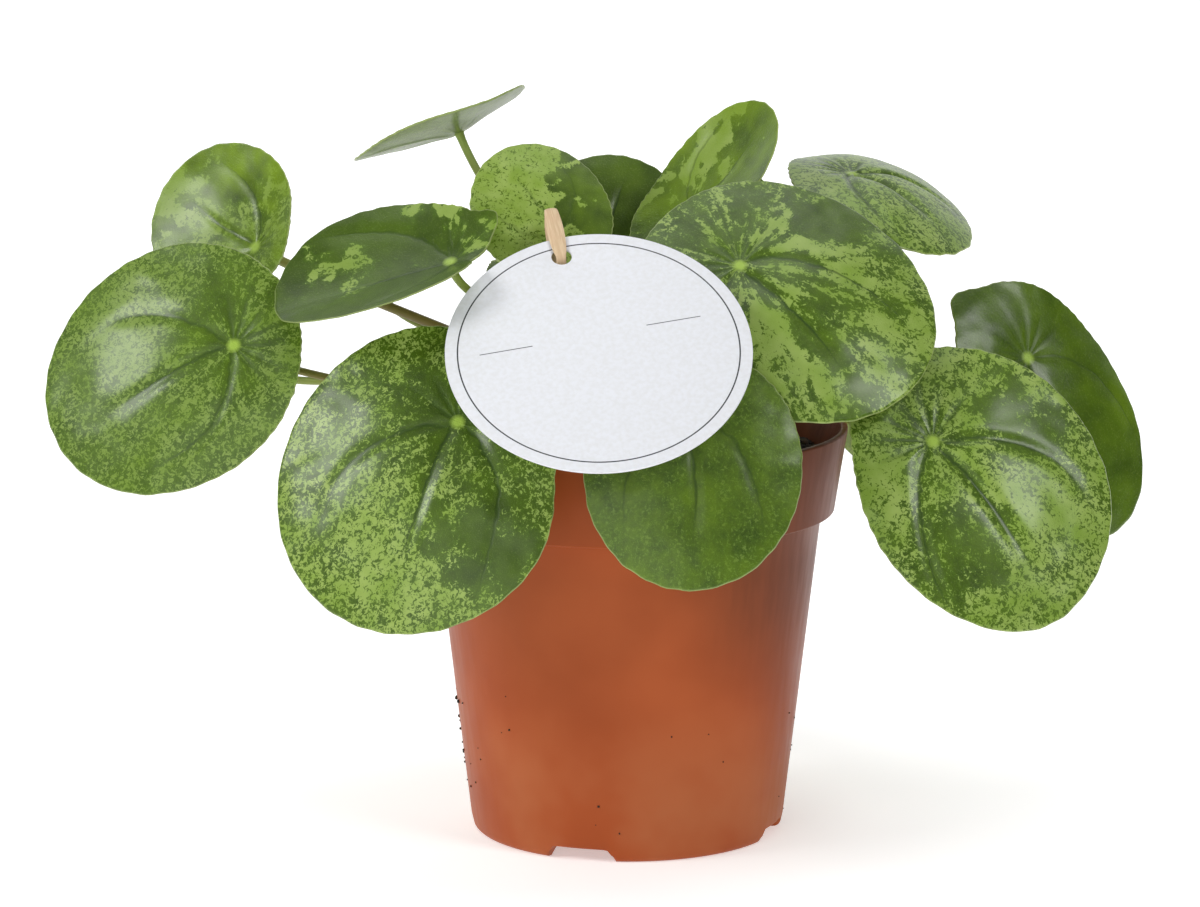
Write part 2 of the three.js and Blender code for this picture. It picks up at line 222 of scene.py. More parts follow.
@dataclass(frozen=True)
class Lamina(Finish):
    """A pilea blade: a fleshy waxy leaf whose upper skin is a mosaic of greens.

    The mosaic follows the blade's own place in millimetres, so it bends with the leaf. The wax gives a soft
    grey shine, the veins are sunk lines, and the underside is paler and duller.
    """

    name: str = "waxy variegated pilea leaf"
    slot: str = "leaf_blade"
    deep: str = "#354b08"
    dark: str = "#425c0d"
    middle: str = "#4e6e16"
    light: str = "#82a03c"
    pale: str = "#a4ba62"
    warm: str = "#7c9a12"
    vein: str = "#2c440e"
    seat: str = "#9cba48"
    rim: str = "#a8b670"
    under: str = "#7f9450"
    blotch_mm: float = 5.0
    ray_mm: float = 1.9
    grain_mm: float = 1.8
    shade_mm: float = 17.0
    skin_mm: float = 0.5
    wobble_mm: float = 7.0
    noise_roughness: float = 0.72
    line_reach: float = 1.4
    # How far the painted shade along each vein reaches, in half widths of the vein.
    furrow_shade_reach: float = 6.0
    vein_ink: float = 0.8

    def dress(self, add: AddNode) -> Inputs:
        """Adds the leaf material's nodes, and gives what its shader gets."""
        read = {}
        for name in Leaf.MARKS:
            read[name] = add("Attribute", out="Vector", attribute_name=name)
        place = read["blade_place"]
        bias, blotch_share, grain_share = add("SeparateXYZ", [read["marble"]]).node.outputs
        ray_share, contrast, warmth = add("SeparateXYZ", [read["marble_more"]]).node.outputs
        reach, rim_gap, under = add("SeparateXYZ", [read["blade_reach"]]).node.outputs

        # Noises with features of a real size, from about -1 to 1. The fan's and the rays' places draw them
        # out from the seat.
        cloud = {}
        for name, source, size_mm, detail, twist in (
            ("blotch", read["fan_place"], self.blotch_mm, 6.0, 0.5),
            ("ray", read["ray_place"], self.ray_mm, 2.0, 0.0),
            ("grain", place, self.grain_mm, 2.5, 0.8),
            ("shade", place, self.shade_mm, 2.0, 0.0),
            ("skin", place, self.skin_mm, 1.0, 0.0),
            ("wobble", place, self.wobble_mm, 1.0, 0.0),
        ):
            settings = {"Vector": source, "Scale": 1 / size_mm, "Detail": detail, "Distortion": twist}
            noise_value = add("TexNoise", settings | {"Roughness": self.noise_roughness})
            cloud[name] = add("Math", [noise_value, 4.0, -2.0], operation="MULTIPLY_ADD")

        # Veins: each gap is in half widths of its vein, and a slow wobble keeps them from running true. A
        # broad band of painted shade, a darker green, goes with each, for the shade in the furrow over it.
        sway = add("VectorMath", [cloud["wobble"], (0.9, 1.2, 0.9)], operation="MULTIPLY")
        gaps = add("VectorMath", [read["vein_gap"], sway], operation="ADD")
        gaps = add("SeparateXYZ", [gaps]).node.outputs
        forces = add("SeparateXYZ", [read["vein_force"]]).node.outputs
        lines, furrow_shades = 0.0, 0.0
        for gap, force in zip(gaps, forces):
            away = add("Math", [gap], operation="ABSOLUTE")
            line = add("MapRange", {0: away, 1: self.line_reach, 2: 0.2, 4: force}, **SMOOTH)
            furrow_shade = add("MapRange", {0: away, 1: self.furrow_shade_reach, 2: 0.5, 4: force}, **SMOOTH)
            lines = add("Math", [line, lines], operation="MAXIMUM")
            furrow_shades = add("Math", [furrow_shade, furrow_shades], operation="MAXIMUM")

        # The mosaic: a sharp step between the two greens over a soft one, and a cloudy change of shade.
        # The painted shade along the veins darkens the mosaic first.
        mosaic = add("Math", [furrow_shades, -0.5, bias], operation="MULTIPLY_ADD")
        for name, share in (("blotch", blotch_share), ("grain", grain_share), ("ray", ray_share)):
            mosaic = add("Math", [cloud[name], share, mosaic], operation="MULTIPLY_ADD")
        soft = add("MapRange", {0: mosaic, 1: -1.0, 2: 0.4, 4: 0.8}, **SMOOTH)
        sharp = add("MapRange", [mosaic, -0.1, 0.16], **SMOOTH)
        sharp = add("Math", [sharp, contrast], operation="MULTIPLY")
        cloudy = add("MapRange", [cloud["shade"], -0.8, 0.8])
        darks = add("Mix", {0: cloudy, 6: self.deep, 7: self.dark}, **MIX)
        lights = add("Mix", {0: cloudy, 6: self.pale, 7: self.light}, **MIX)
        greens = add("Mix", {0: soft, 6: darks, 7: self.middle}, **MIX)
        greens = add("Mix", {0: sharp, 6: greens, 7: lights}, **MIX)
        warm_share = add("Math", [warmth, cloudy], operation="MULTIPLY")
        greens = add("Mix", {0: warm_share, 6: greens, 7: self.warm}, **MIX)
        # The upper skin's fine dots, drawn about twice their real size so that they show.
        dots = add("MapRange", {0: cloud["skin"], 1: 0.2, 2: 1.3, 4: 0.18})
        greens = add("Mix", {0: dots, 6: greens, 7: self.pale}, **MIX)

        ink = add("Math", [lines, self.vein_ink], operation="MULTIPLY")
        upper = add("Mix", {0: ink, 6: greens, 7: self.vein}, **MIX)
        seat = add("MapRange", [reach, 2.3, 0.9])
        upper = add("Mix", {0: seat, 6: upper, 7: self.seat}, **MIX)

        # The underside: the same mosaic seen through a paler skin, its veins standing out in a lighter green.
        lower = add("Mix", {0: 0.3, 6: self.under, 7: greens}, **MIX)
        lower = add("Mix", {0: ink, 6: lower, 7: self.pale}, **MIX)
        colour = add("Mix", {0: under, 6: upper, 7: lower}, **MIX)
        rim = add("MapRange", {0: rim_gap, 1: 0.45, 2: 0.15, 4: 0.6})
        colour = add("Mix", {0: rim, 6: colour, 7: self.rim}, **MIX)

        rough = add("Math", [cloud["grain"], 0.04, 0.35], operation="MULTIPLY_ADD")
        rough = add("Math", [under, 0.16, rough], operation="MULTIPLY_ADD")
        height = add("Math", [cloud["skin"], 0.14], operation="MULTIPLY")
        height = add("Math", [cloud["grain"], 0.16, height], operation="MULTIPLY_ADD")
        height = add("Math", [height, lines], operation="SUBTRACT")
        bump = add("Bump", {"Strength": 0.6, "Distance": 0.3 * MM, "Height": height})
        return {
            "Base Color": colour,
            "Roughness": rough,
            "Normal": bump,
            "IOR": 1.45,
            "Specular IOR Level": 0.2,
            "Coat Weight": 0.45,
            "Coat Roughness": 0.22,
        }


@dataclass(frozen=True)
class Petiole(Finish):
    """A pilea stalk: a smooth fleshy rod, brown by the stem and green by the blade."""

    name: str = "fleshy leaf stalk"
    slot: str = "leaf_stalk"
    brown: str = "#7a6230"
    olive: str = "#868a3c"
    green: str = "#8ea348"

    def dress(self, add: AddNode) -> Inputs:
        """Adds the stalk material's nodes, and gives what its shader gets."""
        place = add("Attribute", out="Vector", attribute_name="stalk_place")
        along, _, tone = add("SeparateXYZ", [place]).node.outputs
        stretched = add("Mapping", {"Vector": place, "Scale": (6, 2.2, 40)})
        fibre = add("TexNoise", {"Vector": stretched, "Scale": 1.5, "Detail": 3})
        share = add("Math", [along, tone], operation="ADD")
        share = add("Math", [fibre, 0.35, share], operation="MULTIPLY_ADD")
        low = add("MapRange", [share, 0.15, 0.75])
        high = add("MapRange", [share, 0.75, 1.1])
        colour = add("Mix", {0: low, 6: self.brown, 7: self.olive}, **MIX)
        colour = add("Mix", {0: high, 6: colour, 7: self.green}, **MIX)
        bump = add("Bump", {"Strength": 0.3, "Distance": 0.1 * MM, "Height": fibre})
        return {"Base Color": colour, "Normal": bump, "Roughness": 0.42, "IOR": 1.45}


@dataclass(frozen=True)
class StemBark(Finish):
    """The stem: corky grey-brown bark, ringed by leaf scars, with green showing through."""

    name: str = "young corky stem"
    slot: str = "stem"
    cork: str = "#6b5a3c"
    scar: str = "#3c3020"
    green: str = "#6d7438"
    crack_mm: float = 2.4
    patch_mm: float = 8.0

    def dress(self, add: AddNode) -> Inputs:
        """Adds the stem material's nodes, and gives what its shader gets."""
        place = add("TexCoord", out="Object")
        cork = add("TexNoise", {"Vector": place, "Scale": 1 / (self.crack_mm * MM), "Detail": 4})
        patch = add("TexNoise", {"Vector": place, "Scale": 1 / (self.patch_mm * MM), "Detail": 2})
        spread = add("MapRange", [patch, 0.4, 0.62])
        colour = add("Mix", {0: spread, 6: self.cork, 7: self.green}, **MIX)
        crack = add("MapRange", [cork, 0.48, 0.34])
        colour = add("Mix", {0: crack, 6: colour, 7: self.scar}, **MIX)
        bump = add("Bump", {"Strength": 0.7, "Distance": 0.4 * MM, "Height": cork})
        return {"Base Color": colour, "Normal": bump, "Roughness": 0.8}


@dataclass(frozen=True)
class PottingMix(Finish):
    """Moist peat with bark and fibre: near black, with paler brown and mossy bits."""

    name: str = "moist potting mix"
    slot: str = "potting_mix"
    peat: str = "#1d1510"
    bark: str = "#4a3623"
    moss: str = "#5d6230"
    grit_mm: float = 1.9
    lump_mm: float = 3.8
    moss_mm: float = 13.0

    def dress(self, add: AddNode) -> Inputs:
        """Adds the potting mix material's nodes, and gives what its shader gets."""
        place = add("TexCoord", out="Object")
        scale = 1 / (self.grit_mm * MM)
        grit = add("TexNoise", {"Vector": place, "Scale": scale, "Detail": 5, "Roughness": 0.7})
        lumps = add("TexVoronoi", {"Vector": place, "Scale": 1 / (self.lump_mm * MM)}, "Distance")
        mossy = add("TexNoise", {"Vector": place, "Scale": 1 / (self.moss_mm * MM), "Detail": 3})
        brown = add("MapRange", [grit, 0.45, 0.72])
        colour = add("Mix", {0: brown, 6: self.peat, 7: self.bark}, **MIX)
        green = add("MapRange", {0: mossy, 1: 0.56, 2: 0.7, 4: 0.7})
        colour = add("Mix", {0: green, 6: colour, 7: self.moss}, **MIX)
        height = add("Math", [grit, lumps], operation="ADD")
        bump = add("Bump", {"Strength": 0.8, "Distance": 0.9 * MM, "Height": height})
        return {"Base Color": colour, "Normal": bump, "Roughness": 0.88}


@dataclass(frozen=True)
class MouldedPot(Finish):
    """Injection-moulded polypropylene, dyed terracotta: satin, with a handled, slightly dusty skin.

    The dye is cloudy over a few centimetres, the skin has faint upright drag marks from the mould, dried
    potting mix has left a dull bloom on the lower wall, and the upper right of the wall has a grey-brown
    painted shade in upright streaks, for the shadow and dark reflection of the leaves that hang over it.
    """

    name: str = "terracotta dyed polypropylene"
    slot: str = "pot_plastic"
    dye: str = "#ac562d"
    deep: str = "#a04c25"
    bloom: str = "#ae6c46"
    # The painted shade's colour: the shadow and dark reflection of the right-hand leaves on the wall.
    right_painted_shade: str = "#5e331e"
    cloud_mm: float = 36.0
    mark_mm: float = 2.4
    dust_mm: float = 1.1

    def dress(self, add: AddNode) -> Inputs:
        """Adds the pot material's nodes, and gives what its shader gets."""
        raw = add("TexCoord", out="Object")
        place = add("Mapping", {"Vector": raw, "Location": (-AXIS.x, -AXIS.y, 0)})
        drawn = add("Mapping", {"Vector": place, "Scale": (1, 1, 0.12)})
        cloudy = add("TexNoise", {"Vector": place, "Scale": 1 / (self.cloud_mm * MM), "Detail": 3})
        marks = add("TexNoise", {"Vector": drawn, "Scale": 1 / (self.mark_mm * MM), "Detail": 3})
        dust = add("TexNoise", {"Vector": place, "Scale": 1 / (self.dust_mm * MM), "Detail": 4})
        right, _, height = add("SeparateXYZ", [place]).node.outputs
        tone = add("MapRange", [cloudy, 0.35, 0.65])
        colour = add("Mix", {0: tone, 6: self.deep, 7: self.dye}, **MIX)
        low = add("MapRange", {0: height, 1: 45 * MM, 2: 8 * MM, 4: 0.55})
        dusty = add("MapRange", [cloudy, 0.42, 0.62])
        veil = add("Math", [low, dusty], operation="MULTIPLY")
        colour = add("Mix", {0: veil, 6: colour, 7: self.bloom}, **MIX)
        # Painted shade: the upper right of the wall is darkened in upright streaks, for the shadow and dark
        # reflection of the leaves over it.
        aside = add("MapRange", [right, 8 * MM, 36 * MM], **SMOOTH)
        upper = add("MapRange", [height, 34 * MM, 80 * MM], **SMOOTH)
        shade_streaks = add("MapRange", [marks, 0.35, 0.65, 0.7, 0.8])
        right_painted_shade = add("Math", [aside, upper], operation="MULTIPLY")
        right_painted_shade = add("Math", [right_painted_shade, shade_streaks], operation="MULTIPLY")
        colour = add("Mix", {0: right_painted_shade, 6: colour, 7: self.right_painted_shade}, **MIX)
        rough = add("MapRange", [marks, 0.3, 0.7, 0.32, 0.44])
        rough = add("Math", [veil, 0.25, rough], operation="MULTIPLY_ADD")
        skin = add("Math", [marks, dust], operation="ADD")
        bump = add("Bump", {"Strength": 0.12, "Distance": 0.1 * MM, "Height": skin})
        return {
            "Base Color": colour,
            "Roughness": rough,
            "Normal": bump,
            "IOR": 1.49,
            "Specular IOR Level": 0.12,
        }


@dataclass(frozen=True)
class TagBoard(Finish):
    """Smooth white board, offset printed: a cool white coated face with thin ink lines."""

    name: str = "coated white tag board"
    slot: str = "tag_card"
    face: str = "#e8eaef"
    core: str = "#d6d6d4"
    ink: str = "#2a2c31"
    ring_mm: float = 36.7
    ring_width: float = 0.38
    dash_width: float = 0.24
    soft_edge: float = 0.03
    dashes: tuple = ((-29.9, 7.7, -16.1, 6.6), (14.5, 4.7, 28.7, 3.5))

    def dress(self, add: AddNode) -> Inputs:
        """Adds the card material's nodes, and gives what its shader gets."""
        place = add("Attribute", out="Vector", attribute_name="card_place")
        front = add("SeparateXYZ", [place], 2)
        flat = add("VectorMath", [place, (1, 1, 0)], operation="MULTIPLY")
        radius = add("VectorMath", [flat], "Value", operation="LENGTH")
        from_ring = add("Math", [radius, self.ring_mm], operation="SUBTRACT")
        # The distance from each line's middle, with the line's half width. Ink has a soft edge of 0.06 mm.
        gaps = [(from_ring, self.ring_width / 2)]
        for left, left_y, right, right_y in self.dashes:
            middle = ((left + right) / 2, (left_y + right_y) / 2, 0)
            slant = math.atan2(right_y - left_y, right - left)
            half_length = math.hypot(right - left, right_y - left_y) / 2
            own = add("Mapping", [flat, middle, (0, 0, slant)], vector_type="TEXTURE")
            along, beside, _ = add("SeparateXYZ", [own]).node.outputs
            past = add("Math", [along], operation="ABSOLUTE")
            past = add("Math", [past, half_length], operation="SUBTRACT")
            past = add("Math", [past, 0.0], operation="MAXIMUM")
            off = add("CombineXYZ", [past, beside])
            gap = add("VectorMath", [off], "Value", operation="LENGTH")
            gaps.append((gap, self.dash_width / 2))
        ink = 0.0
        for gap, half_width in gaps:
            away = add("Math", [gap], operation="ABSOLUTE")
            line = add("MapRange", [away, half_width + self.soft_edge, half_width - self.soft_edge])
            ink = add("Math", [line, ink], operation="MAXIMUM")
        ink = add("Math", [ink, front], operation="MULTIPLY")
        fibre = add("TexNoise", {"Vector": place, "Scale": 0.8, "Detail": 4})
        mottle = add("MapRange", {0: fibre, 1: 0.35, 2: 0.65, 4: 0.35})
        paper = add("Mix", {0: mottle, 6: self.face, 7: self.core}, **MIX)
        colour = add("Mix", {0: ink, 6: paper, 7: self.ink}, **MIX)
        bump = add("Bump", {"Strength": 0.15, "Distance": 0.05 * MM, "Height": fibre})
        return {"Base Color": colour, "Normal": bump, "Roughness": 0.5}


@dataclass(frozen=True)
class NaturalTape(Finish):
    """The loop: undyed soft tape, a pale straw colour, with fibres that run along it."""

    name: str = "undyed soft tape"
    slot: str = "tag_loop"
    straw: str = "#e0cba4"
    shade: str = "#c19e76"
    blush: str = "#dcbb99"

    def dress(self, add: AddNode) -> Inputs:
        """Adds the tape material's nodes, and gives what its shader gets."""
        place = add("Attribute", out="Vector", attribute_name="tape_place")
        stretched = add("Mapping", {"Vector": place, "Scale": (0.12, 2.6, 1)})
        fibre = add("TexNoise", {"Vector": stretched, "Scale": 1.4, "Detail": 3})
        cloudy = add("TexNoise", {"Vector": place, "Scale": 0.3, "Detail": 1})
        lines = add("MapRange", {0: fibre, 1: 0.42, 2: 0.6, 4: 0.5})
        colour = add("Mix", {0: cloudy, 6: self.straw, 7: self.blush}, **MIX)
        colour = add("Mix", {0: lines, 6: colour, 7: self.shade}, **MIX)
        bump = add("Bump", {"Strength": 0.5, "Distance": 0.12 * MM, "Height": fibre})
        return {"Base Color": colour, "Normal": bump, "Roughness": 0.6}


# The pot, its potting mix and the stem.


def spun(profile: list[Point], steps: int) -> BMesh:
    """Spins a profile about the upright axis into a closed skin.

    Args:
        profile: points of radius and height that start and end on the axis, or close on themselves.
        steps: how many sides the spin has.

    Returns:
        The new mesh, its normals outwards.
    """
    bm = bmesh.new()
    points = [bm.verts.new((radius, 0, height)) for radius, height in profile]
    edges = [bm.edges.new(pair) for pair in zip(points, points[1:])]
    whole = {"cent": (0, 0, 0), "axis": (0, 0, 1), "angle": 2 * math.pi, "use_merge": True}
    bmesh.ops.spin(bm, geom=points + edges, steps=steps, **whole)
    bmesh.ops.remove_doubles(bm, verts=bm.verts, dist=1e-4)
    bmesh.ops.recalc_face_normals(bm, faces=bm.faces)
    return bm


def arc(centre: Point, radius: float, start: float, end: float, steps: int = 5) -> list[Point]:
    """Gives the points of an arc.

    Args:
        centre: its centre.
        radius: its radius.
        start: its first angle in degrees.
        end: its last angle in degrees.
        steps: how many pieces it has.

    Returns:
        Its points from start to end.
    """
    angles = [math.radians(start + (end - start) * i / steps) for i in range(steps + 1)]
    return [(centre[0] + radius * math.cos(a), centre[1] + radius * math.sin(a)) for a in angles]


@dataclass
class NurseryPot:
    """The thin moulded pot: a tapered wall, a wide band at the rim, a raised floor and a notched foot."""

    height: float = 112
    rim_radius: float = 60
    band_height: float = 23
    band_foot_radius: float = 56.5
    band_round: float = 0.6
    body_top_radius: float = 53
    foot_radius: float = 42.5
    foot_round: float = 2.2
    wall: float = 1.4
    floor_height: float = 4.6
    floor_thickness: float = 1.8
    drain_holes: int = 6
    drain_radius: float = 4.5
    drain_circle: float = 25
    notches: int = 4
    notch_width: float = 18
    notch_height: float = 3.6
    notch_turn: float = -18
    sides: int = 240
    specks: int = 46
    speck_seed: int = 11

    def outer_radius(self, height: float) -> float:
        """The tapered wall's outer radius at a height below the band."""
        share = height / (self.height - self.band_height)
        return self.foot_radius + (self.body_top_radius - self.foot_radius) * share

    def inner_radius(self, height: float) -> float:
        """The pot's inner radius at a height."""
        body_top = self.height - self.band_height
        if height < body_top:
            return self.outer_radius(height) - self.wall
        share = (height - body_top) / self.band_height
        return self.body_top_radius + (self.rim_radius - self.wall - self.body_top_radius) * share - self.wall

    def profile(self) -> list[Point]:
        """The section of the wall and floor, from the axis below the floor round to the axis above it."""
        body_top = self.height - self.band_height
        floor_top = self.floor_height + self.floor_thickness
        foot_inside = self.foot_radius - self.foot_round - self.wall
        foot_centre = (self.foot_radius - self.foot_round, self.foot_round)
        lip = self.rim_radius - self.band_round
        points = [(0, self.floor_height), (foot_inside - 1.2, self.floor_height)]
        points += arc((foot_inside - 1.2, self.floor_height - 1.2), 1.2, 90, 0)
        points += arc((foot_inside + 0.5, 0.5), 0.5, 180, 270, 3)
        points += arc(foot_centre, self.foot_round, 270, 355)
        points += [(self.outer_radius(h), h) for h in (4.2, 9, 20, 35, 50, 65, 78)]
        points += [(self.body_top_radius - 0.1, body_top - 0.8), (self.body_top_radius + 0.5, body_top)]
        band_foot = (self.band_foot_radius - self.band_round, body_top + self.band_round)
        points += arc(band_foot, self.band_round, 270, 355)
        points += [(self.band_foot_radius + 1.7, body_top + 11.5)]
        points += arc((lip, self.height - self.band_round), self.band_round, 5, 90)
        points += arc((lip - self.wall + 0.5, self.height - 0.5), 0.5, 90, 180, 3)
        inner_heights = (self.height - 6, body_top + 5, body_top, 60, 30, floor_top + 2)
        points += [(self.inner_radius(h), h) for h in inner_heights]
        points += arc((self.inner_radius(floor_top) - 1.5, floor_top + 1.5), 1.5, 0, -90, 3)
        return points + [(0, floor_top)]

    def notch_rise(self, angle: float) -> float:
        """How far the foot's edge is raised at an angle, for its drain notches with rounded corners."""
        rise = 0.0
        for i in range(self.notches):
            turn = math.radians(270 + self.notch_turn + 360 * i / self.notches)
            away = math.remainder(angle - turn, 2 * math.pi) * self.foot_radius / (self.notch_width / 2)
            if abs(away) < 1:
                rise = max(rise, self.notch_height * (1 - away**10) ** 0.25)
        return rise

    def build(self) -> None:
        """Builds the pot."""
        bm = spun(self.profile(), self.sides)
        drained = self.drain_circle + self.drain_radius
        for vert in bm.verts:
            if vert.co.z < self.notch_height and math.hypot(vert.co.x, vert.co.y) > drained:
                vert.co.z = max(vert.co.z, self.notch_rise(math.atan2(vert.co.y, vert.co.x)))
        pot = finish_piece("nursery_pot", bm, MouldedPot(), ["pot"], 50)
        cutter = bmesh.new()
        size = {"radius1": self.drain_radius, "radius2": self.drain_radius, "depth": 4 * self.floor_thickness}
        for i in range(self.drain_holes):
            angle = math.radians(360 * (i + 0.5) / self.drain_holes)
            out = Vector((math.cos(angle), math.sin(angle), 0)) * self.drain_circle
            place = Matrix.Translation((out.x, out.y, self.floor_height))
            bmesh.ops.create_cone(cutter, cap_ends=True, segments=32, matrix=place, **size)
        bmesh.ops.transform(cutter, matrix=TO_FRAME, verts=cutter.verts)
        drill = add_mesh("drain_drill", cutter)
        cut = pot.modifiers.new("drain holes", "BOOLEAN")
        cut.operation, cut.solver, cut.object = "DIFFERENCE", "EXACT", drill
        holed = bpy.data.meshes.new_from_object(pot.evaluated_get(bpy.context.evaluated_depsgraph_get()))
        pot.modifiers.clear()
        pot.data = holed
        holed.name = "nursery_pot"
        bpy.data.objects.remove(drill)

    def splash(self) -> None:
        """Sets crumbs of potting mix that stick to the lower wall, most of them on its left."""
        draw = random.Random(self.speck_seed)
        bm = bmesh.new()
        for _ in range(self.specks):
            left = draw.random() < 0.45
            angle = math.radians(draw.gauss(182, 7) if left else draw.uniform(150, 390))
            height = draw.uniform(18, 38) if left else draw.triangular(5, 45, 16)
            size = draw.uniform(0.3, 0.75) if left else draw.uniform(0.18, 0.42)
            radius = self.outer_radius(height) + 0.2 * size
            turn = Matrix.Rotation(draw.uniform(0, ANY_TURN), 4, "X")
            turn @= Matrix.Rotation(draw.uniform(0, ANY_TURN), 4, "Z")
            place = Matrix.Translation((radius * math.cos(angle), radius * math.sin(angle), height))
            squash = Matrix.Diagonal((1, draw.uniform(0.5, 1), draw.uniform(0.6, 1.3), 1))
            bmesh.ops.create_icosphere(bm, subdivisions=1, radius=size, matrix=place @ turn @ squash)
        finish_piece("pot_soil_specks", bm, PottingMix(), [], 60)


@dataclass
class PottedSoil:
    """The potting mix: a rough moist surface with crumbs, bark bits and a hole for the stem."""

    LUMPS: ClassVar[tuple[tuple[float, ...], ...]] = ((9, 1.6, 3.1), (3.2, 0.9, 7.7), (1.3, 0.4, 1.2))

    pot: NurseryPot
    top: float = 104
    wall_gap: float = 0.35
    hole_radius: float = 4.9
    hole_bottom: float = 65.7
    crumbs: int = 620
    crumb_seed: int = 5
    rings: int = 44
    sides: int = 160

    def surface(self, x: float, y: float) -> float:
        """The height of the soil at a place."""
        broad, lump, grit = (
            height * noise.noise(Vector((x / size, y / size, seed))) for size, height, seed in self.LUMPS
        )
        return self.top + min(broad + lump, 1.5) + grit

    def build(self) -> None:
        """Builds the soil's body."""
        floor_top = self.pot.floor_height + self.pot.floor_thickness + 0.3
        body_top = self.pot.height - self.pot.band_height
        edge = self.pot.inner_radius(self.top) - self.wall_gap
        points = [(0, floor_top), (self.pot.inner_radius(floor_top + 2) - 2.4, floor_top)]
        points += [(self.pot.inner_radius(floor_top + 3) - self.wall_gap, floor_top + 3)]
        points += [(self.pot.inner_radius(body_top) - self.wall_gap, body_top), (edge, self.top - 1.2)]
        inward = self.hole_radius - edge
        points += [(edge + inward * i / self.rings, self.top) for i in range(1, self.rings + 1)]
        points += [(self.hole_radius, self.hole_bottom), (0, self.hole_bottom)]
        bm = spun(points, self.sides)
        for vert in bm.verts:
            radius = math.hypot(vert.co.x, vert.co.y)
            if vert.co.z > self.top - 0.01 and radius > self.hole_radius + 0.2:
                vert.co.z = self.surface(vert.co.x, vert.co.y)
        finish_piece("potting_mix_body", bm, PottingMix(), ["soil"], 80)

    def scatter(self) -> None:
        """Scatters crumbs and bark bits on the soil."""
        draw = random.Random(self.crumb_seed)
        bm = bmesh.new()
        edge = self.pot.inner_radius(self.top) - self.wall_gap
        for _ in range(self.crumbs):
            angle = draw.uniform(0, 2 * math.pi)
            radius = math.sqrt(draw.uniform((self.hole_radius + 2) ** 2, (edge - 2.2) ** 2))
            x, y = radius * math.cos(angle), radius * math.sin(angle)
            size = draw.triangular(0.5, 2.2, 0.9)
            turn = Matrix.Rotation(draw.uniform(0, ANY_TURN), 4, "Z")
            turn @= Matrix.Rotation(draw.uniform(-0.5, 0.5), 4, "X")
            shape = Matrix.Diagonal((1, draw.uniform(0.4, 1), draw.uniform(0.3, 0.8), 1))
            place = Matrix.Translation((x, y, self.surface(x, y) + 0.15 * size))
            bmesh.ops.create_icosphere(bm, subdivisions=1, radius=size, matrix=place @ turn @ shape)
        finish_piece("potting_mix_crumbs", bm, PottingMix(), [], 60)


@dataclass
class Stem:
    """The short upright stem, ringed by the scars of fallen leaves."""

    bottom: float = 66
    top: float = 141
    soil_top: float = 104
    radius: float = 4.6
    tip_radius: float = 3.0
    scar_pitch: float = 4.15
    sides: int = 40

    def radius_at(self, height: float) -> float:
        """The stem's radius at a height, without its scars."""
        share = min(max((height - self.soil_top) / (self.top - self.soil_top), 0.0), 1.0)
        return self.radius + (self.tip_radius - self.radius) * share

    def build(self) -> None:
        """Builds the stem."""
        bud = self.top - 3.0
        steps = int((bud - self.bottom) / 0.5)
        heights = [self.bottom + (bud - self.bottom) * i / steps for i in range(steps + 1)]
        points = [(0, self.bottom)] + [(self.radius_at(h), h) for h in heights]
        points += arc((0, bud), self.tip_radius, 12, 90, 6)[:-1] + [(0, self.top)]
        bm = spun(points, self.sides)
        for vert in bm.verts:
            angle = math.atan2(vert.co.y, vert.co.x)
            spiral = (vert.co.z - self.soil_top) / self.scar_pitch
            spiral += 0.35 * math.sin(angle * 2 + vert.co.z / 5)
            dent = 0.45 * max(0.0, math.cos(2 * math.pi * spiral)) ** 8
            knobs = 0.3 * noise.noise(vert.co / 1.8)
            flat = Vector((vert.co.x, vert.co.y, 0))
            if flat.length > 0.5:
                vert.co += flat.normalized() * (knobs - dent)
        finish_piece("scarred_stem", bm, StemBark(), ["stem"], 80)


# The leaves.

FAN_REACH = 16.0  # where the fan's place has its true size, in millimetres from the seat
RAY_REACH = 12.0  # where the rays' place has its true size
VEIN_WIDTH = 0.62  # half the width of a vein by the seat, in millimetres
# The middle of a side vein's arc: how far along the leaf, and how far past the midrib, in leaf lengths.
SIDE_ARC = Vector((0.42, -0.16))
FAN_WAYS = (104, 128, 152, 178)  # the back veins' ways from the tip, in degrees
# The depth and width of the furrows over the three kinds of vein, in millimetres on a blade 80 mm long.
FURROWS = ((0.7, 2.1), (0.6, 2.0), (0.35, 1.6))
FURROW_LENGTH = 80
# How an area's outline strays, in two noises: the size and the stray in millimetres, and a seed.
RAGGED = ((9, 12, 4.4), (3, 7, 8.8))


@dataclass(frozen=True)
class Spot:
    """A round patch of a blade that is lighter or darker than the rest, in millimetres along and across."""

    u: float
    v: float
    radius: float
    change: float


@dataclass(frozen=True)
class Half:
    """A part of a blade past a straight line, that is lighter or darker than the rest."""

    direction: float
    edge: float
    change: float


@dataclass(frozen=True)
class Marbling:
    """How the two greens lie on a blade.

    bias runs from -1, all dark, to 1, all light. blotch, grain and ray weigh patches some 5 mm wide,
    grains some 1.8 mm wide and rays from the stalk. contrast is how far the two greens part, warm how far
    the leaf turns yellow-green, and size how coarse its patches and grains are.
    """

    bias: float = 0.0
    blotch: float = 0.7
    grain: float = 0.5
    ray: float = 0.4
    contrast: float = 0.9
    warm: float = 0.1
    size: float = 1.0
    areas: tuple = ()

    def bias_at(self, u: float, v: float) -> float:
        """The bias at a place of the blade. Its areas have ragged outlines."""
        total = self.bias
        ragged = Vector()
        for size, stray, seed in RAGGED:
            ragged += stray * noise.noise_vector(Vector((u / size, v / size, seed)))
        u, v = u + ragged.x, v + ragged.y
        for area in self.areas:
            if isinstance(area, Spot):
                away = math.hypot(u - area.u, v - area.v) / area.radius
                total += area.change * math.exp(-(away**3))
            else:
                turn = math.radians(area.direction)
                past = u * math.cos(turn) + v * math.sin(turn) - area.edge
                total += area.change * smooth_step(-1.2, 1.2, past)
        return total


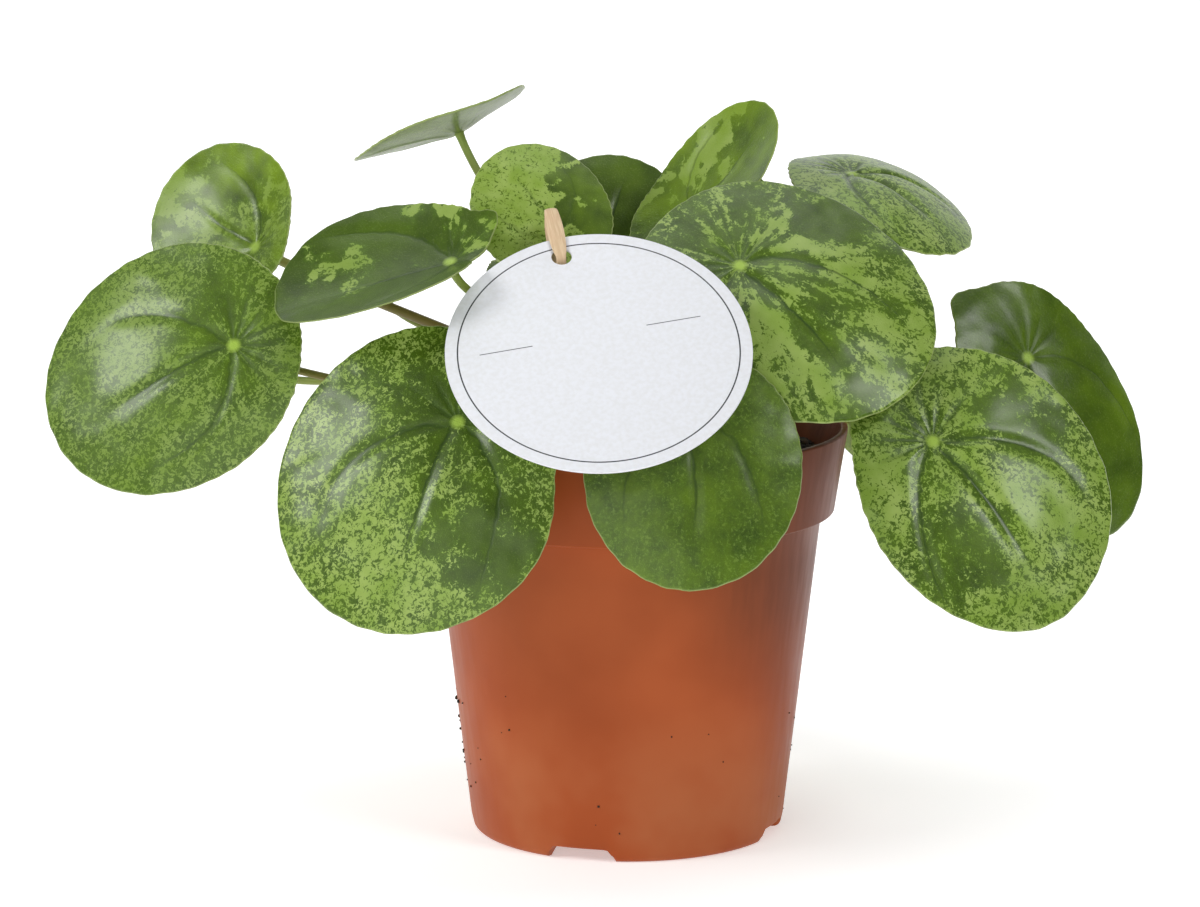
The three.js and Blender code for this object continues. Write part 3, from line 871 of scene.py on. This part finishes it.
@dataclass
class Leaf:
    """A leaf: a round blade that its stalk meets from below, a little back from its middle."""

    MARKS: ClassVar[tuple[str, ...]] = (
        "blade_place", "fan_place", "ray_place", "marble", "marble_more", "vein_gap", "vein_force",
        "blade_reach",
    )

    name: str
    at: tuple
    facing: float
    tilt: float
    turn: float
    length: float
    width: float
    seat: float
    dome: float
    fold: float
    curl: float
    wave: float
    phase: float
    stalk: float
    root: float
    climb: float = 35
    corners: tuple = ()
    via: tuple = ()
    marbling: Marbling = Marbling()
    vein_turn: float = 0.0
    vein_force: float = 1.0
    quilt: float = 1.0
    tone: float = 0.0
    dimple: float = 1.4
    dimple_spread: float = 0.13
    thickness: float = 0.9
    lens_half: float = 0.36
    seat_gap: float = 0.4
    clearance: float = 0.3
    sides: int = 192
    rings: int = 28
    stalk_sides: int = 12
    stalk_steps: int = 36

    def axes(self) -> tuple[Vector, Vector, Vector]:
        """The leaf's own axes: along to its tip, across it, and out of its upper face."""
        facing, tilt, turn = (math.radians(a) for a in (self.facing, self.tilt, self.turn))
        outward = Vector((math.sin(facing), -math.cos(facing), 0))
        up = Vector((0, 0, 1))
        normal = outward * math.cos(tilt) + up * math.sin(tilt)
        downhill = outward * math.sin(tilt) - up * math.cos(tilt)
        sideways = normal.cross(downhill)
        along = downhill * math.cos(turn) + sideways * math.sin(turn)
        return along, normal.cross(along), normal

    def reach(self, angle: float) -> float:
        """The distance from the stalk's seat to the blade's edge, in a direction from the tip."""
        long, wide, offset = self.length / 2, self.width / 2, self.seat * self.length
        c, s = math.cos(angle), math.sin(angle)
        a = (c / long) ** 2 + (s / wide) ** 2
        b = -2 * c * offset / long**2
        d = (offset / long) ** 2 - 1
        uneven = 0.012 * math.sin(2 * angle + self.phase) + 0.01 * math.sin(3 * angle + 2 * self.phase)
        for direction, height, spread in self.corners:
            away = (math.degrees(angle) - direction + 180) % 360 - 180
            uneven += height * math.exp(-((away / spread) ** 2))
        return (-b + math.sqrt(b * b - 4 * a * d)) / (2 * a) * (1 + uneven)

    def scallop(self, angle: float) -> float:
        """The small uneven teeth of the edge in millimetres: waves some 4 mm long."""
        seed = self.phase * 10
        round_trip = Vector((math.cos(angle), math.sin(angle), 0)) * 9
        return 0.3 * noise.noise(round_trip + Vector((seed, 0, seed))) + 0.1 * math.sin(44 * angle + seed)

    def rise(self, u: float, v: float, share: float, angle: float) -> float:
        """The blade's rise out of its flat plane."""
        x = 2 * u / self.length - 2 * self.seat
        y = 2 * v / self.width
        domed = -self.dome * (x * x + y * y)
        folded = self.fold * math.sqrt(y * y + 0.05)
        curled = -2 * self.curl * (max(u, 0) / self.length) ** 2
        dished = -self.dimple * math.exp(-(u * u + v * v) / (self.dimple_spread * self.length) ** 2)
        waved = self.wave * share**3 * math.sin(3 * angle + self.phase)
        return domed + folded + curled + dished + waved

    def veins(self, u: float, v: float) -> tuple[Vector, Vector]:
        """The veins near a place: the midrib, two side veins that arch to the tip, and a fan at the back.

        Args:
            u: the place along the leaf.
            v: the place across it.

        Returns:
            The gaps in millimetres to the three kinds of vein, and how strong each is here, from 0 to 1.
        """
        turn = math.radians(self.vein_turn)
        far = math.hypot(u, v) / self.length
        bearing = math.remainder(math.atan2(v, u) - turn, 2 * math.pi)
        along, aside = far * math.cos(bearing), far * math.sin(bearing)
        mid_gap = aside + 0.012 * math.sin(9 * along + self.phase)
        mid_force = smooth_step(0.56, 0.3, along) * smooth_step(0.0, 0.04, along)
        side_gap = math.hypot(along - SIDE_ARC.x, abs(aside) - SIDE_ARC.y) - SIDE_ARC.length
        side_gap += 0.012 * math.sin(11 * along + 2 * self.phase + (2 if aside > 0 else 0))
        side_force = smooth_step(0.6, 0.2, along) * smooth_step(0.0, 0.05, abs(aside))
        side_force *= smooth_step(-0.04, 0.02, along)
        back_gap = min(abs(far * math.sin(abs(bearing) - math.radians(way))) for way in FAN_WAYS)
        back_force = 0.6 * smooth_step(0.24, 0.05, far) * smooth_step(1.45, 1.7, abs(bearing))
        forces = Vector((mid_force, 0.8 * side_force, back_force)) * self.vein_force
        return Vector((mid_gap, side_gap, back_gap)) * self.length, forces

    def relief(self, u: float, v: float, share: float) -> float:
        """The quilting of the blade: furrows along the veins and soft swells between them."""
        gaps, forces = self.veins(u, v)
        spread = self.length / FURROW_LENGTH
        furrow = 0.0
        for gap, force, (depth, width) in zip(gaps, forces, FURROWS):
            furrow = max(furrow, depth * force * math.exp(-((gap / (width * spread)) ** 2)))
        swell = 0.35 * noise.noise(Vector((u / 11, v / 11, self.phase * 7)))
        swell += 0.16 * noise.noise(Vector((u / 4.5, v / 4.5, self.phase * 7))) * share
        return (swell * smooth_step(0.0, 0.2, share) - furrow * self.quilt) * spread

    def marks(self, u: float, v: float, share: float, upper: bool) -> tuple[Vector, ...]:
        """What the leaf's finish reads at a place of the blade.

        Args:
            u: the place along the leaf.
            v: the place across it.
            share: how far out it is, from 0 at the seat to 1 at the edge.
            upper: whether it is on the upper face.

        Returns:
            A vector for each of MARKS.
        """
        far = math.hypot(u, v)
        edge_gap = far / share - far if share > 0 else self.length / 2
        marble = self.marbling
        fan = math.sqrt(FAN_REACH / max(far, 0.05)) / marble.size
        rays = (RAY_REACH + 0.1 * far) / max(far, 0.05)
        seed = self.phase * 61 + self.length
        gaps, forces = self.veins(u, v)
        half_width = VEIN_WIDTH * (1 - 0.5 * smooth_step(0.0, 0.5 * self.length, far))
        return (
            Vector((u / marble.size, v / marble.size, seed)),
            Vector((u * fan, v * fan, seed)),
            Vector((u * rays, v * rays, seed)),
            Vector((marble.bias_at(u, v), marble.blotch, marble.grain)),
            Vector((marble.ray * smooth_step(30.0, 12.0, far), marble.contrast, marble.warm)),
            gaps / half_width,
            forces,
            Vector((far, edge_gap, 0.0 if upper else 1.0)),
        )

    def build_blade(self) -> None:
        """Builds the blade: a thin lens spun round the stalk's seat, then shaped by the leaf's formulas."""
        half = self.lens_half
        face = [math.sin(math.pi / 2 * i / self.rings) ** 0.9 * 0.985 for i in range(self.rings + 1)]
        upper = [(share, half * (1 - 0.25 * share**6)) for share in face]
        rim = [(0.994, half * 0.6), (0.998, 0.0), (0.994, -half * 0.6)]
        lower = [(share, -thick) for share, thick in reversed(upper)]
        bm = spun(upper + rim + lower, self.sides)
        along, across, normal = self.axes()
        seat = Vector(self.at)
        rest = self.rise(0, 0, 0, 0) + self.relief(0, 0, 0)
        layers = [bm.verts.layers.float_vector.new(name) for name in self.MARKS]
        for vert in bm.verts:
            share = math.hypot(vert.co.x, vert.co.y)
            angle = math.atan2(vert.co.y, vert.co.x)
            whole = self.reach(angle) + self.scallop(angle) * smooth_step(0.4, 1.0, share)
            u, v = share * whole * math.cos(angle), share * whole * math.sin(angle)
            height = vert.co.z
            for layer, mark in zip(layers, self.marks(u, v, share, height > -1e-6)):
                vert[layer] = mark
            rise = self.rise(u, v, share, angle) + self.relief(u, v, share) - rest + height
            vert.co = seat + along * u + across * v + normal * rise
        finish_piece(f"{self.name}_lamina", bm, Lamina(), [f"{self.name}_blade"], 180)

    def path(self, stem: Stem) -> list[Vector]:
        """The stalk's middle line, from inside the stem to the blade's underside.

        Args:
            stem: the stem that it leaves.

        Returns:
            Points in millimetres from the pot's axis.
        """
        seat = Vector(self.at)
        normal = self.axes()[2]
        bearing = Vector((seat.x, seat.y, 0)).normalized()
        climb = math.radians(self.climb)
        start = bearing * (stem.radius_at(self.root) + self.clearance + self.stalk / 2 * math.sin(climb))
        start.z = self.root
        end = seat - normal * (self.thickness / 2 + self.seat_gap)
        leave = bearing * math.cos(climb) + Vector((0, 0, math.sin(climb)))
        if self.via:
            knots = [start, start + leave * 4, *(Vector(place) for place in self.via), end - normal * 3, end]
            points = catmull_rom(knots, self.stalk_steps)
        else:
            span = (end - start).length
            first, last = start + leave * 0.35 * span, end - normal * 0.25 * span
            points = []
            for i in range(self.stalk_steps + 1):
                t = i / self.stalk_steps
                point = start * (1 - t) ** 3 + first * 3 * t * (1 - t) ** 2
                points.append(point + last * 3 * t * t * (1 - t) + end * t**3)
        return [start - bearing * 1.0] + points + [end + normal * (self.seat_gap + 0.25)]

    def build_stalk(self, stem: Stem) -> None:
        """Builds the stalk: a ring that is extruded along its path, a little thicker at both ends.

        Args:
            stem: the stem that it leaves.
        """
        points = self.path(stem)
        last = len(points) - 1
        radii = []
        for i in range(len(points)):
            t = i / last
            root_swell, seat_swell = 0.35 * math.exp(-t / 0.03), 0.55 * math.exp(-(1 - t) / 0.02)
            radii.append(self.stalk / 2 * (0.96 + root_swell + seat_swell))
        bm = bmesh.new()
        layer = bm.verts.layers.float_vector.new("stalk_place")
        rings = sweep(bm, points, [(r, r) for r in radii], self.stalk_sides)
        for i, ring in enumerate(rings):
            for j, vert in enumerate(ring):
                vert[layer] = Vector((i / last, j / self.stalk_sides * 3, self.tone))
        finish_piece(f"{self.name}_petiole", bm, Petiole(), [f"{self.name}_stalk"], 180)


def catmull_rom(knots: list[Vector], steps: int) -> list[Vector]:
    """Gives a centripetal Catmull-Rom curve through knots.

    Args:
        knots: the points that it passes through.
        steps: about how many pieces it has.

    Returns:
        Points along it, both ends included.
    """
    padded = [knots[0] * 2 - knots[1], *knots, knots[-1] * 2 - knots[-2]]
    per_span = max(2, round(steps / (len(knots) - 1)))
    points = [knots[0].copy()]
    for p0, p1, p2, p3 in zip(padded, padded[1:], padded[2:], padded[3:]):
        d0, d1, d2 = (math.sqrt((b - a).length) for a, b in ((p0, p1), (p1, p2), (p2, p3)))
        leave = ((p1 - p0) / d0 - (p2 - p0) / (d0 + d1) + (p2 - p1) / d1) * d1
        arrive = ((p2 - p1) / d1 - (p3 - p1) / (d1 + d2) + (p3 - p2) / d2) * d1
        for i in range(1, per_span + 1):
            t = i / per_span
            points.append(p1 * (2 * t**3 - 3 * t * t + 1) + leave * (t**3 - 2 * t * t + t)
                          + p2 * (3 * t * t - 2 * t**3) + arrive * (t**3 - t * t))
    return points


def sweep(
    bm: BMesh,
    path: list[Vector],
    radii: list[Point],
    sides: int,
    first_side: Vector | None = None,
    closed: bool = False,
) -> list[list[BMVert]]:
    """Extrudes an oval ring along a path, turned as little as it can be.

    Args:
        bm: the mesh that it joins.
        path: the path's points.
        radii: the oval's half width and half thickness at each point.
        sides: the ring's sides.
        first_side: the way the half width points at the start.
        closed: whether the last ring is joined to the first, or both ends are capped.

    Returns:
        The vertices of each ring.
    """
    count = len(path)
    frames = []
    side = first_side
    for i, point in enumerate(path):
        before = path[i - 1] if i or closed else path[0]
        after = path[(i + 1) % count] if i < count - 1 or closed else path[-1]
        forward = (after - before).normalized()
        if side is None:
            side = forward.orthogonal()
        side = (side - forward * side.dot(forward)).normalized()
        up = forward.cross(side)
        wide, thick = radii[i]
        columns = Matrix((side * wide, up * thick, forward)).transposed().to_4x4()
        frames.append(Matrix.Translation(point) @ columns)
    ring = bmesh.ops.create_circle(bm, cap_ends=False, segments=sides, radius=1.0, matrix=frames[0])["verts"]
    rings = [ring]
    first_edges = edges = list({edge for vert in ring for edge in vert.link_edges})
    for before, after in zip(frames, frames[1:]):
        order = {vert: i for i, vert in enumerate(rings[-1])}
        grown = bmesh.ops.extrude_edge_only(bm, edges=edges)["geom"]
        edges = [part for part in grown if isinstance(part, BMEdge)]
        fresh = [part for part in grown if isinstance(part, BMVert)]
        bmesh.ops.transform(bm, matrix=after @ before.inverted(), verts=fresh)
        match = {}
        for vert in fresh:
            for edge in vert.link_edges:
                other = edge.other_vert(vert)
                if other in order:
                    match[order[other]] = vert
        rings.append([match[i] for i in range(sides)])
    if closed:
        bmesh.ops.bridge_loops(bm, edges=first_edges + edges)
    else:
        bmesh.ops.contextual_create(bm, geom=first_edges)
        bmesh.ops.contextual_create(bm, geom=edges)
    bmesh.ops.recalc_face_normals(bm, faces=bm.faces)
    return rings


# The tag.


@dataclass
class PlantTag:
    """The round card and its loop. The card leans back on the leaves at the front."""

    centre: tuple = (-7.8, -62, 142.6)
    lean: float = 49
    turn: float = 17
    radius: float = 40
    thickness: float = 0.7
    hole_radius: float = 2.7
    hole_height: float = 33.6
    loop_length: float = 18.4
    loop_depth: float = 5.6
    loop_width: float = 4.0
    loop_thickness: float = 0.8
    loop_corner: float = 2.0
    loop_turn: float = 10
    loop_drop: float = 1.1
    loop_steps: int = 72
    loop_sides: int = 14
    clearance: float = 0.3

    def stand(self) -> Matrix:
        """The place of the card's plane."""
        return Matrix.Translation(self.centre) @ Matrix.Rotation(math.radians(90 - self.lean), 4, "X")

    def build_card(self) -> None:
        """Builds the card: a disc with soft cut edges and a punched hole."""
        bm = bmesh.new()
        rim = bmesh.ops.create_circle(bm, cap_ends=False, segments=160, radius=self.radius)["verts"]
        hole = bmesh.ops.create_circle(bm, cap_ends=False, segments=40, radius=self.hole_radius,
                                       matrix=Matrix.Translation((0, self.hole_height, 0)))["verts"]
        edges = list({edge for vert in rim + hole for edge in vert.link_edges})
        bmesh.ops.triangle_fill(bm, use_beauty=True, use_dissolve=False, edges=edges)
        bmesh.ops.recalc_face_normals(bm, faces=bm.faces)
        grown = bmesh.ops.extrude_face_region(bm, geom=list(bm.faces))["geom"]
        raised = [part for part in grown if isinstance(part, BMVert)]
        bmesh.ops.translate(bm, verts=raised, vec=(0, 0, self.thickness))
        bmesh.ops.translate(bm, verts=bm.verts, vec=(0, 0, -self.thickness / 2))
        bmesh.ops.recalc_face_normals(bm, faces=bm.faces)
        corners = [edge for edge in bm.edges if edge.is_manifold and edge.calc_face_angle() > 1]
        bmesh.ops.bevel(bm, geom=corners, offset=0.12, segments=2, profile=0.5, affect="EDGES", material=-1)
        layer = bm.verts.layers.float_vector.new("card_place")
        for vert in bm.verts:
            vert[layer] = Vector((vert.co.x, vert.co.y, 1.0 if vert.co.z > 0 else 0.0))
        matrix = self.stand() @ Matrix.Rotation(math.radians(self.turn), 4, "Z")
        bmesh.ops.transform(bm, matrix=matrix, verts=bm.verts)
        finish_piece("plant_tag_card", bm, TagBoard(), ["tag_card"], 30)

    def build_loop(self) -> None:
        """Builds the loop: a soft band bent into a long ring, broad between its narrow folds."""
        turn = math.radians(self.turn)
        hole = Vector((-math.sin(turn), math.cos(turn), 0)) * self.hole_height
        front = self.thickness / 2 + self.clearance + self.loop_thickness
        place = Matrix.Translation((hole.x, hole.y - self.loop_drop, front - self.loop_depth / 2))
        matrix = self.stand() @ place @ Matrix.Rotation(math.radians(self.loop_turn), 4, "Z")
        half = self.loop_thickness / 2
        corner = self.loop_corner - half
        low, high = half + corner, self.loop_length - half - corner
        side = self.loop_depth / 2 - half - corner
        path, widths = [], []
        corners = ((high, side, 0), (low, side, 90), (low, -side, 180), (high, -side, 270))
        for y, z, start in corners:
            for i in range(9):
                angle = math.radians(start + 90 * i / 8)
                path.append(Vector((0, y + corner * math.cos(angle), z + corner * math.sin(angle))))
        total = sum((b - a).length for a, b in zip(path, path[1:] + path[:1]))
        even = [self.along(path, total * i / self.loop_steps) for i in range(self.loop_steps)]
        for point in even:
            share = min(max(point.y / self.loop_length, 0.0), 1.0)
            body = math.sin(math.pi * min(max((share - 0.05) / 0.95, 0.0), 1.0)) ** 0.6
            widths.append((self.loop_width / 2 * (0.66 + 0.5 * body), half))
        bm = bmesh.new()
        layer = bm.verts.layers.float_vector.new("tape_place")
        rings = sweep(bm, even, widths, self.loop_sides, Vector((1, 0, 0)), True)
        for i, ring in enumerate(rings):
            for vert in ring:
                vert[layer] = Vector((total * i / self.loop_steps, vert.co.x, vert.co.z * 0.1))
        bmesh.ops.transform(bm, matrix=matrix, verts=bm.verts)
        finish_piece("plant_tag_loop", bm, NaturalTape(), ["tag_loop"], 60)

    @staticmethod
    def along(path: list[Vector], distance: float) -> Vector:
        """The point at a distance along a closed path."""
        for a, b in zip(path, path[1:] + path[:1]):
            span = (b - a).length
            if distance <= span and span > 0:
                return a.lerp(b, distance / span)
            distance -= span
        return path[0].copy()


# The plant.

PLAIN = Marbling(-0.7, 0.3, 0.3, 0.2, 0.4, 0.3)
FINE = Marbling(0.0, 0.35, 0.9, 0.3, 0.5, 0.1, 0.7)
COARSE = Marbling(0.1, 1.0, 0.5, 0.6, 0.9, 0.1)


def leaf_rows() -> list[Leaf]:
    """Gives the plant's leaves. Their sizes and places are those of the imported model."""
    misty = Marbling(-0.1, 0.3, 0.9, 0.6, 0.5, 0.15, 0.6, (Spot(28, -14, 15, 0.3), Spot(6, -9, 7, -0.4)))
    cupped = Marbling(0.0, 0.8, 0.7, 0.3, 0.6, 0.8, 0.8, (
        Spot(21, -13, 10, -1.8), Spot(34, 3, 9, 0.6), Spot(14, 6, 8, 0.5), Spot(26, 14, 7, -0.5)))
    boat = Marbling(-1.0, 0.6, 0.6, 0.8, 0.75, 0.1, 0.75, (
        Spot(4, -27, 10, 1.6), Spot(-3, -17, 8, 1.4), Spot(9, -17, 5, -0.8), Spot(29, -8, 4, 1.4),
        Spot(23, -2, 5, 1.2), Spot(-10, 2, 6, 1.4)))
    speckled = Marbling(-0.1, 0.5, 1.2, 0.5, 0.85, 0.1, 0.6, (
        Spot(25, 28, 11, -1.5), Spot(22, 18, 6, -0.7), Spot(-2, -9, 9, -0.7), Spot(13, -36, 6, -0.7),
        Spot(2, 12, 7, -0.5), Spot(40, 10, 20, 0.3)))
    halved = Marbling(0.45, 0.4, 1.2, 0.1, 0.9, 0.3, 0.55, (Half(-113, 3, -2.4),))
    blocky = Marbling(-0.05, 1.1, 0.8, 1.0, 0.75, 0.15, 0.72, (
        Spot(-6, 22, 6, -1.0), Spot(2, 22, 4, 0.9), Spot(-11, 17, 5, 0.7), Spot(12, 27, 8, -1.0),
        Spot(22, 31, 9, -0.9), Spot(16, 15, 7, 0.5), Spot(28, 18, 7, 0.4), Spot(-18, 2, 13, -0.7),
        Spot(14, -14, 8, 0.5), Spot(25, -21, 8, 0.5), Spot(18, 2, 8, -0.6), Spot(32, -11, 5, -0.6),
        Spot(44, -20, 7, -0.7), Spot(42, 2, 11, 0.1)))
    almond = Marbling(0.08, 0.6, 1.1, 0.4, 0.75, 0.1, 0.62, (
        Spot(5, 22, 8, -0.9), Spot(15, 26, 8, -0.8), Spot(24, 28, 7, -0.5), Spot(-12, 20, 8, 0.5),
        Spot(12, 34, 6, 0.4), Spot(22, -10, 8, -0.5), Spot(32, -14, 9, -0.6), Spot(26, -26, 8, -0.4),
        Spot(0, -16, 9, 0.3), Spot(34, 8, 12, 0.4)))
    streaked = Marbling(-0.6, 0.5, 0.6, 0.5, 0.8, 0.8, 0.9, (
        Spot(-8, 20, 9, 2.0), Spot(24, 20, 6, 1.4), Spot(17, 14, 6, 1.5), Spot(11, 8, 6, 1.3)))
    mottled = Marbling(-0.4, 0.4, 1.0, 0.2, 0.22, 0.25, 0.5)
    glossy = Marbling(0.1, 0.5, 0.9, 0.3, 0.7, 0.1, 0.65)
    return [
        Leaf("leaf_01", (-104.5, -34, 139.5), -18, 26, -70, 74, 69, 0.25, 4, 0, 3, 0.9, 0.4, 2.2, 109, 17,
             marbling=misty, vein_turn=11, vein_force=0.8, tone=-0.35),
        Leaf("leaf_02", (-101, 5, 160), -36, 27, -112, 49, 46, 0.24, -3, 0, 0, 0.8, 1.9, 2.8, 119, 25,
             marbling=cupped, vein_force=0.7, tone=-0.3),
        Leaf("leaf_03", (-47, -36, 162), -26, 62, -54, 63, 45, 0.26, -1, 9, 2, 0.8, 2.2, 2.4, 130,
             corners=((210, 0.26, 12), (150, -0.62, 40)), marbling=boat, vein_force=0.7),
        Leaf("leaf_04", (-44.5, -62, 124), -14, 28, -29, 83, 81, 0.2, 5, 0, 4, 1.2, 0.9, 2.6, 116,
             corners=((98, -0.16, 26),), marbling=speckled, vein_turn=11),
        Leaf("leaf_05", (-46, 14, 190.5), -115, 66, -10, 54, 46, 0.09, -3, 0, 0, 0.7, 3.1, 2.3, 138,
             marbling=FINE),
        Leaf("leaf_06", (-18.5, -20, 167), 2, 34, -148, 42, 37, 0.2, 2, 0, 1, 0.6, 1.2, 2.0, 137,
             marbling=halved, vein_force=0.4),
        Leaf("leaf_07", (-6, 30, 153), 8, 30, 165, 46, 44, 0.2, 2, 0, 1, 0.6, 2.6, 2.0, 131,
             via=((-7, 20, 133), (-9, 36, 140)), marbling=PLAIN),
        Leaf("leaf_08", (16.5, 13, 166.5), -56, 38, 156, 54, 42, 0.2, -4, 0, 0, 0.8, 0.2, 2.2, 138,
             marbling=streaked, vein_force=0.6),
        Leaf("leaf_09", (29.5, -31.5, 160.5), 10, 44, 57, 82, 74, 0.18, 6.5, 0, 3, 1.1, 1.7, 2.6, 132,
             marbling=blocky, vein_turn=-22),
        Leaf("leaf_10", (61.5, 22, 178), 47, 69, 10, 55, 52, 0.2, 5, 0, 4, 0.7, 2.4, 2.2, 134,
             marbling=glossy, quilt=3),
        Leaf("leaf_11", (111.5, 34, 124.5), 30, 22, 20, 77, 53, 0.2, 4, 0, 2, 0.9, 0.7, 2.4, 120,
             corners=((202, 0.18, 14),), marbling=PLAIN, vein_force=0.6),
        Leaf("leaf_12", (80.5, -42, 115.2), 12, 29, 36, 85, 66, 0.2, 4, 0, 4, 1.1, 2.9, 2.6, 121, 42,
             corners=((80, 0.18, 50), (255, -0.16, 50), (12, -0.06, 22)),
             marbling=almond, vein_turn=-2, quilt=1.4),
        Leaf("leaf_13", (17, -61, 125), 4, 24, -3, 64, 58, 0.2, 3, 0, 3, 0.8, 1.4, 2.4, 113,
             marbling=mottled, vein_force=0.8),
        Leaf("leaf_14", (74, 76, 111.5), 138, 34, -6, 67, 61, 0.2, 4, 0, 3, 1.0, 0.3, 2.4, 117,
             marbling=COARSE),
        Leaf("leaf_15", (22, 91, 131), 164, 38, 8, 70, 64, 0.21, 4, 0, 3, 1.0, 2.1, 2.4, 120, 25,
             marbling=FINE),
        Leaf("leaf_16", (-40, 80, 114), -158, 38, 4, 68, 62, 0.24, 4, 0, 3, 1.0, 1.1, 2.4, 114, 55,
             marbling=COARSE),
        Leaf("leaf_17", (-109, 48, 122), -118, 32, -8, 56, 54, 0.21, 3, 0, 3, 0.9, 3.0, 2.3, 116, 33,
             marbling=PLAIN),
        Leaf("leaf_18", (3, 60, 168), 172, 58, 0, 52, 48, 0.2, 4, 0, 3, 0.8, 0.8, 2.2, 128, 6, marbling=FINE),
        Leaf("leaf_19", (28, 32, 157.5), 20, 40, 165, 34, 30, 0.18, -2, 0, 0, 0.4, 1.6, 1.8, 127,
             marbling=PLAIN),
        Leaf("leaf_20", (-32, -34, 158), -60, -10, 0, 16, 14, 0.18, -1, 0, 0, 0.3, 0.6, 1.6, 134,
             via=((-8, -30, 154), (-14, -32.5, 164.7), (-23, -33.2, 164.4)), marbling=PLAIN),
        Leaf("leaf_21", (-73, 45, 149), -150, 64, 6, 42, 40, 0.2, 4, 0, 3, 0.8, 2.7, 2.2, 123.5, 10,
             marbling=COARSE),
        Leaf("leaf_22", (58, 56, 150), 126, 46, -8, 56, 51, 0.2, 4, 0, 3, 0.8, 0.2, 2.2, 130,
             marbling=COARSE),
    ]


@dataclass(frozen=True)
class LightTable(Finish):
    """The floor: a white light table, lit a little from below so that shadows stay soft."""

    name: str = "pale studio floor"
    face: str = "#f6f6f6"
    glow: float = 0.42

    def dress(self, add: AddNode) -> Inputs:
        """Gives what the floor's shader gets."""
        return {
            "Base Color": self.face,
            "Emission Color": "#ffffff",
            "Emission Strength": self.glow,
            "Roughness": 0.9,
            "Specular IOR Level": 0.2,
        }


@dataclass
class Studio:
    """The stage: a pale floor, soft light from left, right and top, and a long lens at the photo's angle.

    The lens is given by its focal length in pixels of a frame 1200 pixels wide, the camera's place is in
    millimetres from the pot's axis, and the floor's half width is in metres.
    """

    frame_width: int = 1200
    focal_pixels: float = 5226
    sensor: float = 36.0
    camera_place: tuple = (-7.5, -1400, 370)
    pitch: float = 10.76
    floor_half: float = 14.0

    def build_camera(self) -> None:
        """Sets the camera."""
        data = bpy.data.cameras.new("camera")
        data.sensor_width = self.sensor
        data.lens = self.focal_pixels / self.frame_width * self.sensor
        data.clip_end = 100
        camera = add_object("camera", data)
        camera.location = AXIS + Vector(self.camera_place) * MM
        camera.rotation_euler = (math.radians(90 - self.pitch), 0, 0)
        bpy.context.scene.camera = camera

    def build_floor(self) -> None:
        """Lays the pale floor."""
        bm = bmesh.new()
        bmesh.ops.create_grid(bm, x_segments=1, y_segments=1, size=self.floor_half)
        floor = add_mesh("studio_floor", bm)
        floor.data.materials.append(LightTable().material())

    def build_lights(self) -> None:
        """Lights the stage: soft boxes at the left, right and top, a low front fill and a bright backdrop."""
        for name, strength, width, way in (
            ("left soft box", 1.2, 20, (-0.76, -0.34, 0.56)),
            ("right soft box", 0.85, 18, (0.60, -0.50, 0.62)),
            ("top soft box", 0.8, 50, (0.0, 0.2, 1.0)),
            ("front fill", 0.7, 45, (-0.3, -0.93, 0.15)),
        ):
            data = bpy.data.lights.new(name, "SUN")
            data.energy = strength
            data.angle = math.radians(width)
            light = add_object(name, data)
            light.rotation_euler = Vector(way).to_track_quat("Z", "Y").to_euler()
        world = bpy.data.worlds.new("studio")
        world.use_nodes = True
        # The world is bright behind the plant and above it, dim in front and darker on the right.
        add = partial(add_node, world.node_tree)
        way = add("TexCoord", out="Generated")
        x, y, z = add("SeparateXYZ", [way]).node.outputs
        backdrop = add("MapRange", [y, 0.15, 0.8, 0.13, 0.95])
        ceiling = add("MapRange", {0: z, 1: 0.45, 2: 0.85, 4: 0.06})
        dark_side = add("MapRange", {0: x, 1: 0.0, 2: 0.9, 4: -0.12})
        strength = add("Math", [backdrop, ceiling], operation="ADD")
        strength = add("Math", [strength, dark_side], operation="ADD")
        set_inputs(world.node_tree.nodes["Background"], {"Color": "#fbfcff", "Strength": strength})
        bpy.context.scene.world = world
        bpy.context.scene.view_settings.view_transform = "Standard"


def main() -> None:
    """Builds the stage and the plant."""
    logging.basicConfig(level=logging.INFO, format="%(name)s: %(message)s")
    studio = Studio()
    studio.build_camera()
    studio.build_floor()
    studio.build_lights()
    pot, stem, tag = NurseryPot(), Stem(), PlantTag()
    mix = PottedSoil(pot)
    pot.build()
    pot.splash()
    mix.build()
    mix.scatter()
    stem.build()
    for leaf in leaf_rows():
        leaf.build_blade()
        leaf.build_stalk(stem)
    tag.build_card()
    tag.build_loop()


if __name__ == "__main__":
    main()
